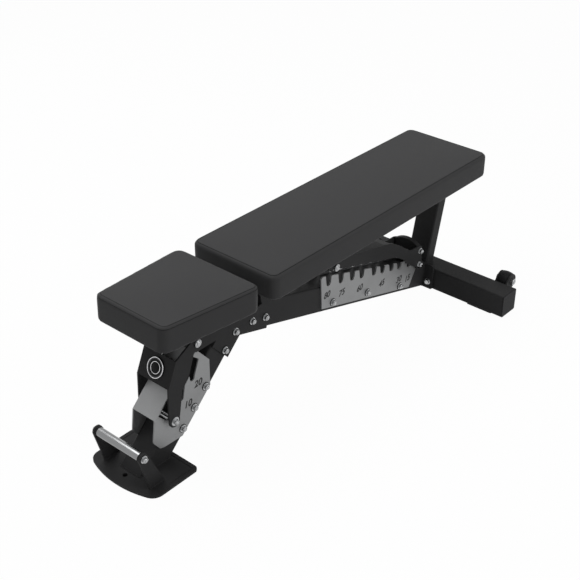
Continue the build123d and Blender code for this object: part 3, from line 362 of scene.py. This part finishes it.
stage = {"tone": (0.8, 0.8, 0.8, 1), "rough": 0.9, "shine": 0.1, "glow": 0.97, "half": 14.0,
         "level": -0.5 * mm, "worldLevel": 0.36}
lamps = {
    # name: place, aims at, width, height, watts, all soft, and mostly from above and from the left
    "overhead": ((-0.5, 1.1, 3.1), (-0.4, 0, 0.4), 2.4, 2.0, 62),
    "left": ((0.8, -3.0, 1.8), (0, 0, 0.3), 1.6, 1.4, 32),
    "right": ((0.8, 3.0, 1.2), (0, 0, 0.3), 1.6, 1.4, 5),
}
white = (1, 1, 1, 1)


def plainRays(tree):
    # one for the rays that show the surface to the camera, in metal or through glass, else zero
    rays = tree.nodes.new("ShaderNodeLightPath").outputs
    seen = mathNode(tree, "MAXIMUM", rays["Is Camera Ray"], rays["Is Glossy Ray"])
    return mathNode(tree, "MAXIMUM", seen, rays["Is Transmission Ray"])


def makeStageMaterial():
    # white paper: seen by the camera, in metal and through glass it is plain white, and it keeps a shadow
    material, tree, shader = newMaterial("whitePaper", {
        "Base Color": stage["tone"], "Roughness": stage["rough"], "Specular IOR Level": stage["shine"]})
    glow = newNode(tree, "ShaderNodeEmission", {"Color": white})
    mix = tree.nodes.new("ShaderNodeMixShader")
    share = mathNode(tree, "MULTIPLY", plainRays(tree), stage["glow"])
    for socket, value in zip(mix.inputs, (share, shader.outputs[0], glow.outputs[0])):
        feed(tree, socket, value)
    feed(tree, tree.nodes["Material Output"].inputs["Surface"], mix.outputs[0])
    return material


floorCorners = np.array([[-1, -1], [1, -1], [1, 1], [-1, 1]]) * stage["half"]
floorPoints = np.concatenate([floorCorners, np.full((4, 1), stage["level"])], 1)
floor = meshFrom("floor", floorPoints, np.array([[0, 1, 2, 3]]), smooth=False)
floor.data.materials.append(makeStageMaterial())

scene.world = bpy.data.worlds.new("studio")
scene.world.use_nodes = True
worldTree = scene.world.node_tree
background = worldTree.nodes["Background"]
# full strength for the plain rays, and the world's own level for all others
base = stage["worldLevel"]
strength = mathNode(worldTree, "MULTIPLY_ADD", plainRays(worldTree), 1 - base, base)
feed(worldTree, background.inputs["Strength"], strength)
feed(worldTree, background.inputs["Color"], white)

for name, (place, aim, width, height, watts) in lamps.items():
    lamp = bpy.data.lights.new(name, "AREA")
    lamp.shape, lamp.size, lamp.size_y, lamp.energy = "RECTANGLE", width, height, watts
    holder = link(bpy.data.objects.new(name, lamp))
    holder.location = place
    away = np.array(place) - np.array(aim)
    tilt, turn = math.acos(away[2] / np.linalg.norm(away)), math.atan2(away[1], away[0])
    holder.rotation_euler = (tilt, 0, turn + math.pi / 2)
scene.view_settings.view_transform = "Standard"
print("stage and light set")

pad = {
    "edge": 9 * mm, "corner": 24 * mm,                  # radii of the upper edge and of the corners
    "grow": 0.6 * mm, "cap": 2.5 * mm, "soften": 12,    # let out by, largest swell, turns of softening
    "under": 1 * mm, "hold": 15 * mm, "seam": 9 * mm,   # held underside, its fade, held band at the seam
    "sag": 2.4 * mm, "sagReach": 16 * mm, "sagHeight": 24 * mm,
    "merge": 0.01 * mm, "backVoxel": 6 * mm, "seatVoxel": 4.5 * mm, "smooth": 0.5, "smoothTurns": 2,
}
cloth = {"quality": 6, "mass": 0.3, "stretch": 40, "shear": 20, "bend": 12, "pressure": 4.0, "frames": 20,
         "bands": 10}


def evaluated(ob):
    graph = bpy.context.evaluated_depsgraph_get()
    return bpy.data.meshes.new_from_object(ob.evaluated_get(graph), depsgraph=graph)


def applyModifiers(ob):
    mesh, old = evaluated(ob), ob.data
    ob.modifiers.clear()
    ob.data = mesh
    bpy.data.meshes.remove(old)


def padPlace(co, outline, frameOf, top):
    # where each point lies on a pad: u is the way along the pad's outline to the nearest point, v the way down
    # over its edge from where the top turns over (minus the distance inside on top, then the roll's arc, then
    # the way down the side), height is over the underside and depth is the distance inside the outline
    plan, rise = frameOf(co)
    run = np.roll(outline, -1, axis=0) - outline
    length = np.linalg.norm(run, axis=1)
    before = np.concatenate([[0], np.cumsum(length)[:-1]])
    toStart = plan[:, None, :] - outline[None]
    t = np.clip((toStart * run).sum(-1) / length**2, 0, 1)
    gap = np.linalg.norm(toStart - t[..., None] * run, axis=-1)
    nearest = gap.argmin(1)
    pick = np.arange(len(plan))
    inside = (run[None, :, 0] * toStart[..., 1] - run[None, :, 1] * toStart[..., 0]) > 0
    depth = np.where(inside[pick, nearest], gap[pick, nearest], 0)
    u = before[nearest] + t[pick, nearest] * length[nearest]
    r, tiny = pad["edge"], 1e-6
    below = np.maximum(top - rise, 0)
    roll = r * np.arctan2(np.maximum(r - depth, 0), np.maximum(r - below, tiny))
    v = np.where(below > r, r * math.pi / 2 + below - r, np.where(depth > r, r - depth, roll))
    return {"u": u, "v": v, "height": rise - rise.min(), "depth": depth, "around": length.sum()}


def softened(move, edges, turns):
    # each turn moves every value halfway to the mean of its neighbours along the edges
    count = np.bincount(edges.ravel(), minlength=len(move))[:, None]
    for turn in range(turns):
        total = np.stack([np.bincount(edges[:, 0], move[edges[:, 1], axis], len(move))
                          + np.bincount(edges[:, 1], move[edges[:, 0], axis], len(move))
                          for axis in range(3)], -1)
        move = 0.5 * move + 0.5 * total / np.maximum(count, 1)
    return move


def blowUp(ob, free):
    # cloth under pressure, held where free is zero; the swell is softened and kept below the cap
    rest = coordinates(ob.data)
    held = ob.vertex_groups.new(name="held")
    for step in range(cloth["bands"] + 1):
        chosen = np.nonzero(np.round(free * cloth["bands"]) == step)[0]
        if len(chosen):
            held.add(chosen.tolist(), 1 - step / cloth["bands"], "REPLACE")
    modifier = ob.modifiers.new("cloth", "CLOTH")
    setting = modifier.settings
    setting.quality, setting.mass = cloth["quality"], cloth["mass"]
    setting.tension_stiffness = setting.compression_stiffness = cloth["stretch"]
    setting.shear_stiffness, setting.bending_stiffness = cloth["shear"], cloth["bend"]
    setting.use_pressure, setting.uniform_pressure_force = True, cloth["pressure"]
    setting.effector_weights.gravity = 0
    setting.vertex_group_mass = "held"
    modifier.point_cache.frame_start, modifier.point_cache.frame_end = 1, cloth["frames"]
    for number in range(1, cloth["frames"] + 1):
        scene.frame_set(number)
    swelled = coordinates(evaluated(ob))
    ob.modifiers.clear()
    ob.vertex_groups.clear()
    scene.frame_set(1)
    edges = np.empty(len(ob.data.edges) * 2, np.int32)
    ob.data.edges.foreach_get("vertices", edges)
    move = softened(swelled - rest, edges.reshape(-1, 2), pad["soften"])
    far = np.linalg.norm(move, axis=1).max()
    print(ob.name, "largest move in mm:", round(far / mm, 2))
    moveTo(ob.data, rest + move * (pad["cap"] / max(far, pad["cap"])))


def blownPad(name, nodeName, outline, frameOf, pitch, voxel):
    # the pad's shell, levelled, let out a little and remeshed, then blown up by cloth that is held at its
    # underside and along the seam on its upper edge, so that each panel swells between its seams
    source = frame["nodes"][nodeName].data.copy()
    level = Matrix.Rotation(pitch, 4, "Y")
    source.transform(level.inverted())
    ob = link(bpy.data.objects.new(name, source))
    ob.modifiers.new("weld", "WELD").merge_threshold = pad["merge"]
    grow = ob.modifiers.new("grow", "DISPLACE")
    grow.strength, grow.mid_level = pad["grow"], 0
    remesh = ob.modifiers.new("remesh", "REMESH")
    remesh.mode, remesh.voxel_size = "VOXEL", voxel
    remesh.use_smooth_shade = True
    applyModifiers(ob)
    ob.data.transform(level)
    top = frameOf(coordinates(ob.data))[1].max()
    place = padPlace(coordinates(ob.data), outline, frameOf, top)
    free = np.clip((place["height"] - pad["under"]) / pad["hold"], 0, 1)
    half = pad["seam"] / 2
    blowUp(ob, free * np.clip((np.abs(place["v"] - half) - half) / (2 * pad["seam"]), 0, 1))
    smooth = ob.modifiers.new("smooth", "SMOOTH")
    smooth.factor, smooth.iterations = pad["smooth"], pad["smoothTurns"]
    fine = ob.modifiers.new("fine", "SUBSURF")
    fine.levels = fine.render_levels = 1
    applyModifiers(ob)
    # the lower rim, past the board, hangs a little lower: sag exp(-(depth / reach)^2) (1 - height / limit)
    co = coordinates(ob.data)
    place = padPlace(co, outline, frameOf, top)
    hang = pad["sag"] * np.exp(-(place["depth"] / pad["sagReach"]) ** 2)
    hang = hang * np.clip(1 - place["height"] / pad["sagHeight"], 0, 1)
    moveTo(ob.data, co - hang[:, None] * np.array(level.col[2][:3]))
    ob.data.polygons.foreach_set("use_smooth", np.ones(len(ob.data.polygons), bool))
    mapPad(ob, outline, frameOf, top)
    print(name, "made:", len(ob.data.polygons), "faces")
    return ob


def mapPad(ob, outline, frameOf, top):
    # a UV map of the place on the pad, in metres; faces over the outline's start keep one side's u
    place = padPlace(coordinates(ob.data), outline, frameOf, top)
    around = place["around"]
    loops = np.empty(len(ob.data.loops), np.int32)
    ob.data.loops.foreach_get("vertex_index", loops)
    uv = np.stack([place["u"][loops], place["v"][loops]], -1)
    first = np.empty(len(ob.data.polygons), np.int32)
    ob.data.polygons.foreach_get("loop_start", first)
    lead = np.repeat(uv[first, 0], np.diff(np.append(first, len(loops))))
    uv[:, 0] += around * (lead - uv[:, 0] > around / 2) - around * (uv[:, 0] - lead > around / 2)
    ob.data.uv_layers.new(name="padMap").data.foreach_set("uv", uv.astype(np.float32).ravel())


def roundedOutline(corners, radius, steps=10):
    # corners cut by arcs that touch both of their sides, anticlockwise
    corners = np.array(corners, float)
    points = []
    for before, here, after in zip(np.roll(corners, 1, 0), corners, np.roll(corners, -1, 0)):
        a, b = (before - here) / np.linalg.norm(before - here), (after - here) / np.linalg.norm(after - here)
        half = math.acos(np.clip(a @ b, -1, 1)) / 2
        middle = here + (a + b) / np.linalg.norm(a + b) * radius / math.sin(half)
        first, last = here + a * radius / math.tan(half), here + b * radius / math.tan(half)
        w = np.linspace(0, 1, steps)[:, None]
        chord = first * (1 - w) + last * w - middle
        points.append(middle + chord / np.linalg.norm(chord, axis=1, keepdims=True) * radius)
    return np.concatenate(points)


def rectangle(low, high):
    return [(low[0], low[1]), (high[0], low[1]), (high[0], high[1]), (low[0], high[1])]


def backPlan(co):
    return co[:, :2], co[:, 2]


backOutline = roundedOutline(rectangle(*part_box("back_pad")), pad["corner"])
backCushion = blownPad("backCushion", "back_pad", backOutline, backPlan, 0, pad["backVoxel"])
dress(backCushion, materials["grainedVinyl"], "back")
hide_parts("back_pad")

# the seat pad's own plane: it rises towards the foot plate, where the pad is narrower
seatForm = {"pitch": 2.4, "length": 315 * mm, "rearHalf": 150 * mm, "noseHalf": 123 * mm, "base": 398 * mm}
lean = math.radians(seatForm["pitch"])
seatRear = np.array([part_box("seat_pad")[1][0], 0, seatForm["base"]])
seatForward = np.array([-math.cos(lean), 0, math.sin(lean)])
seatUp = np.array([math.sin(lean), 0, math.cos(lean)])


def seatPlan(co):
    rel = co - seatRear
    return np.stack([rel @ seatForward, rel[:, 1]], -1), rel @ seatUp


seatCorners = [(0, seatForm["rearHalf"]), (0, -seatForm["rearHalf"]),
               (seatForm["length"], -seatForm["noseHalf"]), (seatForm["length"], seatForm["noseHalf"])]
seatOutline = roundedOutline(seatCorners, pad["corner"])
seatCushion = blownPad("seatCushion", "seat_pad", seatOutline, seatPlan, lean, pad["seatVoxel"])
dress(seatCushion, materials["grainedVinyl"], "seat")
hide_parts("seat_pad")


def tubeFaces(rings, around, closed):
    # quads between neighbouring rings of points; a closed tube's last ring meets its first
    i = np.arange(rings if closed else rings - 1)[:, None]
    j = np.arange(around)[None]
    i2, j2 = (i + 1) % rings, (j + 1) % around
    quads = np.stack([i * around + j, i2 * around + j, i2 * around + j2, i * around + j2], -1)
    return quads.reshape(-1, 4)


def carriedTube(points, upward, section):
    # a profile carried round a closed line: point = line + section's first value * sideways + second * upward,
    # where sideways is square to the line's own direction and to the upward that comes with each point
    ahead = np.roll(points, -1, 0) - np.roll(points, 1, 0)
    ahead /= np.linalg.norm(ahead, axis=1, keepdims=True)
    sideways = np.cross(ahead, upward)
    sideways /= np.linalg.norm(sideways, axis=1, keepdims=True)
    upward = np.cross(sideways, ahead)
    grid = points[:, None] + section[..., :1] * sideways[:, None] + section[..., 1:] * upward[:, None]
    return grid.reshape(-1, 3), tubeFaces(grid.shape[0], grid.shape[1], closed=True)


def circleSection(radius, steps=8):
    t = np.arange(steps) / steps * math.tau
    return np.stack([radius * np.cos(t), radius * np.sin(t)], -1)[None]


def evenly(points, step):
    # a closed line's points at equal steps along it
    ring = np.vstack([points, points[:1]])
    way = np.concatenate([[0], np.cumsum(np.linalg.norm(np.diff(ring, axis=0), axis=1))])
    count = round(way[-1] / step)
    at = np.arange(count) * (way[-1] / count)
    return np.stack([np.interp(at, way, ring[:, axis]) for axis in range(ring.shape[1])], -1)


seamLine = {"down": 1.5 * mm, "radius": 1.0 * mm, "rise": -0.15 * mm, "step": 2.5 * mm, "soften": 3}


def seamCord(name, cushion, outline, lift, body):
    # the thin closing cord in the groove: the outline drawn in by the roll, laid on the cushion, carried as a
    # tube; lift(line, rise) turns points of the pad's plan into points in space
    line = evenly(outline, seamLine["step"])
    ahead = np.roll(line, -1, 0) - np.roll(line, 1, 0)
    inward = np.stack([-ahead[:, 1], ahead[:, 0]], -1) / np.linalg.norm(ahead, axis=1, keepdims=True)
    angle = seamLine["down"] / pad["edge"]
    line = line + inward * pad["edge"] * (1 - math.sin(angle))
    points = lift(line, -pad["edge"] * (1 - math.cos(angle)))
    ring = np.stack([np.arange(len(points)), (np.arange(len(points)) + 1) % len(points)], -1)
    mesh = bpy.data.meshes.new(name)
    mesh.from_pydata(points.tolist(), ring.tolist(), [])
    guide = link(bpy.data.objects.new(name, mesh))
    wrap = guide.modifiers.new("lay", "SHRINKWRAP")
    wrap.target, wrap.wrap_method = cushion, "NEAREST_SURFACEPOINT"
    laid = coordinates(evaluated(guide))
    for turn in range(seamLine["soften"]):
        laid = 0.5 * laid + 0.25 * (np.roll(laid, 1, 0) + np.roll(laid, -1, 0))
    bpy.data.objects.remove(guide)
    outward = lift(line - inward, 1.0) - lift(line, 0.0)        # halfway between sideways and up
    rise = outward * seamLine["rise"] / np.linalg.norm(outward, axis=1, keepdims=True)
    cord = joined(name, [carriedTube(laid + rise, outward, circleSection(seamLine["radius"]))])
    # the cord's darker tone is partly painted shade along the seam line
    dress(cord, materials["seamVinylShade"], body)


def liftBack(line, rise):
    return np.concatenate([line, np.full((len(line), 1), backTop + rise)], 1)


def liftSeat(line, rise):
    return (seatRear + line[:, :1] * seatForward + line[:, 1:] * np.array([0, 1, 0])
            + (seatTop + rise) * seatUp)


backTop = backPlan(nodePoints("back_pad"))[1].max()
seatTop = seatPlan(nodePoints("seat_pad"))[1].max()
seamCord("backSeam", backCushion, backOutline, liftBack, "back")
seamCord("seatSeam", seatCushion, seatOutline[::-1], liftSeat, "seat")
print("pads done")

numbers = {
    "size": 28 * mm, "shear": 0.25, "bold": 0.9 * mm, "thick": 0.25 * mm,
    # number: centre of each in mm, from the hinge line and from the floor
    "back": (("80", 291.0, 212.0), ("75", 360.0, 188.0), ("60", 447.0, 163.0), ("45", 559.0, 129.0),
             ("30", 650.0, 101.0), ("15", 697.0, 84.0)),
    "seat": (("20", -235.5, 190.0), ("10", -275.4, 144.5)),
}


def numberMesh(text):
    curve = bpy.data.curves.new("number", "FONT")
    curve.body, curve.size, curve.shear = text, numbers["size"], numbers["shear"]
    curve.bevel_depth, curve.bevel_resolution = numbers["bold"], 1
    curve.align_x = curve.align_y = "CENTER"
    ob = link(bpy.data.objects.new("number", curve))
    mesh = evaluated(ob)
    bpy.data.objects.remove(ob)
    pressed = Matrix.Diagonal((1, 1, numbers["thick"] / numbers["bold"], 1))    # the stroke made flat
    mesh.transform(pressed)
    return mesh


def placeNumbers(key, face):
    # on both sides' faces, each turned to be read from its own side
    hinge = (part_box("hinge_pin")[0][0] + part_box("hinge_pin")[1][0]) / 2
    for sideName, hand in (("left", -1), ("right", 1)):
        turn = Matrix(((-hand, 0, 0), (0, 0, hand), (0, 1, 0))).to_4x4()
        for text, x, z in numbers[key]:
            mesh = numberMesh(text)
            mesh.transform(Matrix.Translation((hinge + x * mm, hand * face, z * mm)) @ turn)
            ob = link(bpy.data.objects.new(f"{key}Number{text}.{sideName}", mesh))
            dress(ob, materials["printedNumber"], "frame")


placeNumbers("back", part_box("back_ladder_right")[1][1])
placeNumbers("seat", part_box("seat_ladder")[1][1])
print("numbers placed")


def turnedShape(profile, centre, axis, around=32):
    # a profile of (radius, height) pairs turned about an axis: point = centre + radius (cos a across +
    # sin a up) + height axis, with a round the full circle; a radius of zero at the end closes the shape
    profile, axis = np.array(profile, float), np.array(axis, float)
    across = np.cross(axis, (1, 0, 0) if abs(axis[0]) < 0.9 else (0, 0, 1))
    across /= np.linalg.norm(across)
    upward = np.cross(axis, across)
    a = np.arange(around) / around * math.tau
    radius, height = profile[:, 0, None, None], profile[:, 1, None, None]
    points = centre + radius * (np.cos(a)[:, None] * across + np.sin(a)[:, None] * upward) + height * axis
    return points.reshape(-1, 3), tubeFaces(len(profile), around, closed=False)


def finished(name, parts, sharp):
    # the parts as one piece: doubled points merged, faces outwards, smooth apart from edges sharper than the
    # given angle
    ob = joined(name, parts)
    bm = bmesh.new()
    bm.from_mesh(ob.data)
    bmesh.ops.remove_doubles(bm, verts=bm.verts, dist=2e-6)
    bmesh.ops.dissolve_degenerate(bm, edges=bm.edges, dist=1e-6)
    bmesh.ops.recalc_face_normals(bm, faces=bm.faces)
    bm.to_mesh(ob.data)
    bm.free()
    ob.data.polygons.foreach_set("use_smooth", np.ones(len(ob.data.polygons), bool))
    ob.data.set_sharp_from_angle(angle=math.radians(sharp))
    return ob


# ends of the through bolts and axles: a lock nut's collar with the bolt's tip on the left, a dished head on
# the right; each profile holds (radius as a share of the hexagon's corner radius, height in mm over its face)
boltEnd = {
    "nut": ((0.0, -0.3), (0.84, -0.3), (0.84, 0.9), (0.8, 1.6), (0.72, 2.1), (0.64, 2.2), (0.6, 1.9),
            (0.58, 1.2), (0.5, 1.2), (0.5, 2.6), (0.43, 3.2), (0.0, 3.2)),
    "head": ((0.0, -0.3), (0.85, -0.3), (0.84, 0.3), (0.79, 0.6), (0.6, 0.65), (0.5, 0.35), (0.0, 0.3)),
    "plates": ("hinge_ear_bolts", "back_ladder_bolts", "seat_ladder_bolts"),
    "pivots": ("hinge_pin", "seat_prop_axle", "seat_prop_pin", "back_prop_axle", "back_prop_pin",
               "back_prop_bridge_bolts", "handle_bolts", "wheel_axles"),
    "layer": 0.1 * mm, "gather": 25 * mm,
}


def endSpots(name, hand):
    # centres and corner radii of the hexagons on one side: the outermost layer's points, gathered by nearness
    co = nodePoints(name)
    face = (co[:, 1] * hand).max()
    flat = co[co[:, 1] * hand > face - boltEnd["layer"]]
    near = np.linalg.norm(flat[:, None, ::2] - flat[None, :, ::2], axis=-1) < boltEnd["gather"]
    first = near.argmax(1)
    for lead in np.unique(first):
        group = flat[first == lead]
        middle = (group.max(0) + group.min(0)) / 2
        yield middle, np.linalg.norm(group[:, ::2] - middle[::2], axis=1).max()


for sideName, hand, kind in (("left", -1, "nut"), ("right", 1, "head")):
    for nodeName in boltEnd["plates"] + boltEnd["pivots"]:
        shapes = []
        for middle, corner in endSpots(nodeName, hand):
            profile = [(share * corner, height * mm) for share, height in boltEnd[kind]]
            shapes.append(turnedShape(profile, middle, (0, hand, 0)))
        ends = finished(f"{nodeName}.{kind}.{sideName}", shapes, sharp=50)
        dress(ends, materials["zincPlate"], bodyOf(nodeName))

# black rings that stand out from under the washers, on the plates along the beam and the post, as painted shade
# round each bolt; in mm
shadowRing = {"inner": 9.8, "outer": 12.4, "high": 1.0, "bevel": 0.4, "below": 8.1}
shadowRingProfile = np.array([(shadowRing["inner"], 0), (shadowRing["outer"], 0), (shadowRing["outer"], shadowRing["high"] / 2),
                        (shadowRing["outer"] - shadowRing["bevel"], shadowRing["high"]), (shadowRing["inner"], shadowRing["high"]),
                        (shadowRing["inner"], 0)]) * mm
for sideName, hand in (("left", -1), ("right", 1)):
    sink = np.array([0, hand * shadowRing["below"] * mm, 0])
    rings = [turnedShape(shadowRingProfile, middle - sink, (0, hand, 0))
             for nodeName in boltEnd["plates"] for middle, corner in endSpots(nodeName, hand)]
    # painted shade: dark rings round the bolts, in black rubber
    dress(finished(f"shadowRings.{sideName}", rings, sharp=40), materials["rubber"], "frame")
print("bolt ends made")

# weld beads where the post, the upright and the handle's stays stand on their plates, and the beam on its
# flange
weld = {"radius": 2.3 * mm, "swell": 0.16, "pitch": 3.8 * mm, "step": 0.95 * mm, "corner": 5 * mm,
        "cornerShare": 0.45, "near": 0.6 * mm}


def weldBead(nodeName, axis, level):
    # a rippled tube round the rectangle that a node's points span in a plane square to an axis; its radius is
    # r (1 + swell cos(2 pi s / pitch)), s the way along
    co = nodePoints(nodeName)
    rim = co[np.abs(co[:, axis] - level) < weld["near"]]
    others = [k for k in range(3) if k != axis]
    low, high = rim[:, others].min(0), rim[:, others].max(0)
    corner = min(weld["corner"], (high - low).min() * weld["cornerShare"])
    line = evenly(roundedOutline(rectangle(low, high), corner), weld["step"])
    points = np.empty((len(line), 3))
    points[:, others], points[:, axis] = line, level
    way = np.arange(len(line)) * weld["step"]
    radius = weld["radius"] * (1 + weld["swell"] * np.cos(math.tau * way / weld["pitch"]))
    upward = np.zeros((len(line), 3))
    upward[:, axis] = 1
    return carriedTube(points, upward, circleSection(1.0) * radius[:, None, None])


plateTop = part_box("front_foot_plate")[1][2]
beads = [weldBead("front_post", 2, plateTop), weldBead("handle_stay_left", 2, plateTop),
         weldBead("handle_stay_right", 2, plateTop), weldBead("rear_upright", 2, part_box("rear_upright")[0][2]),
         weldBead("main_beam", 0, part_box("main_beam")[1][0])]
dress(finished("weldBeads", beads, sharp=80), materials["blackCoat"], "frame")
print("welds made")

# trim ring on the seat prop: a dark rounded ring, a bright bead on it and a second one inside, round a low
# dome; radii and heights in mm
trim = {"outer": 29.0, "inner": 22.4, "height": 4.0, "power": 4, "beadAt": 26.9, "bead": 1.0, "beadHigh": 0.8,
        "beadSunk": 0.1, "innerBeadAt": 15.8, "innerBead": 0.9, "dome": 11.0, "domeHeight": 1.6,
        "domeSunk": 0.2, "ringSteps": 96, "beadSteps": 72, "domeSteps": 48}
ringPoints = nodePoints("seat_prop_ring")
ringMiddle = (ringPoints.max(0) + ringPoints.min(0)) / 2
ringAxis = np.linalg.svd(ringPoints - ringMiddle, full_matrices=False)[2][2]
ringAxis *= -np.sign(ringAxis[0])                               # it faces the foot plate
ringBase = ((ringPoints - ringMiddle) @ ringAxis).min() / mm
plugTop = ((nodePoints("seat_prop_plug") - ringMiddle) @ ringAxis).max() / mm


def ovalSection(radius, wide, high, base, steps=24):
    # (radius + wide cos t, base + high sin t), t round the full circle
    t = np.linspace(0, math.tau, steps + 1)
    return np.stack([radius + wide * np.cos(t), base + high * np.sin(t)], -1) * mm


def cushionSection(inner, outer, high, base, power, steps=40):
    # a square with round shoulders: both coordinates are a cosine and a sine raised to 2 / power, signs kept
    t = np.linspace(0, math.tau, steps + 1)
    c, s = [np.sign(wave) * np.abs(wave) ** (2 / power) for wave in (np.cos(t), np.sin(t))]
    return np.stack([c * (outer - inner) / 2 + (outer + inner) / 2, base + (s + 1) * high / 2], -1) * mm


ringSection = cushionSection(trim["inner"], trim["outer"], trim["height"], ringBase, trim["power"])
ringShape = turnedShape(ringSection, ringMiddle, ringAxis, trim["ringSteps"])
trimRing = finished("trimRing", [ringShape], sharp=80)
dress(trimRing, materials["darkTrim"], "seat_prop")
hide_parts("seat_prop_ring")

beadBase = ringBase + trim["height"] - trim["beadSunk"]
outerBead = ovalSection(trim["beadAt"], trim["bead"], trim["beadHigh"], beadBase)
innerBead = ovalSection(trim["innerBeadAt"], trim["innerBead"], trim["innerBead"], plugTop)
beads = [turnedShape(outerBead, ringMiddle, ringAxis, trim["ringSteps"]),
         turnedShape(innerBead, ringMiddle, ringAxis, trim["beadSteps"])]
dress(finished("trimBeads", beads, sharp=80), materials["brightTrim"], "seat_prop")

# the dome: radius sin t and height cos t, t from a quarter turn to nothing, after a closing point underneath
t = np.linspace(math.pi / 2, 0, 10)
domeBase = plugTop - trim["domeSunk"]
domeProfile = np.stack([trim["dome"] * np.sin(t), domeBase + trim["domeHeight"] * np.cos(t)], -1) * mm
domeProfile = np.vstack([[0, domeProfile[0, 1]], domeProfile])
domeShape = turnedShape(domeProfile, ringMiddle, ringAxis, trim["domeSteps"])
plugDome = finished("plugDome", [domeShape], sharp=80)
dress(plugDome, materials["mouldedPlastic"], "seat_prop")
print("trim ring made")

# a dark rubber disc on the floor under the foot plate's bolt hole: painted shade, so that the hole shows dark
holeShade = {"place": (-688 * mm, 0, -0.3 * mm), "radius": 8.5 * mm, "steps": 24}
disc = [(holeShade["radius"], 0), (holeShade["radius"] / 2, 0), (0, 0)]
holeShadeShape = turnedShape(disc, holeShade["place"], (0, 0, 1), holeShade["steps"])
holeShadeDot = finished("holeShadowDisc", [holeShadeShape], sharp=40)
# the disc is painted shade in the hole, not a part of the bench
holeShadeDot.data.materials.append(materials["rubber"])
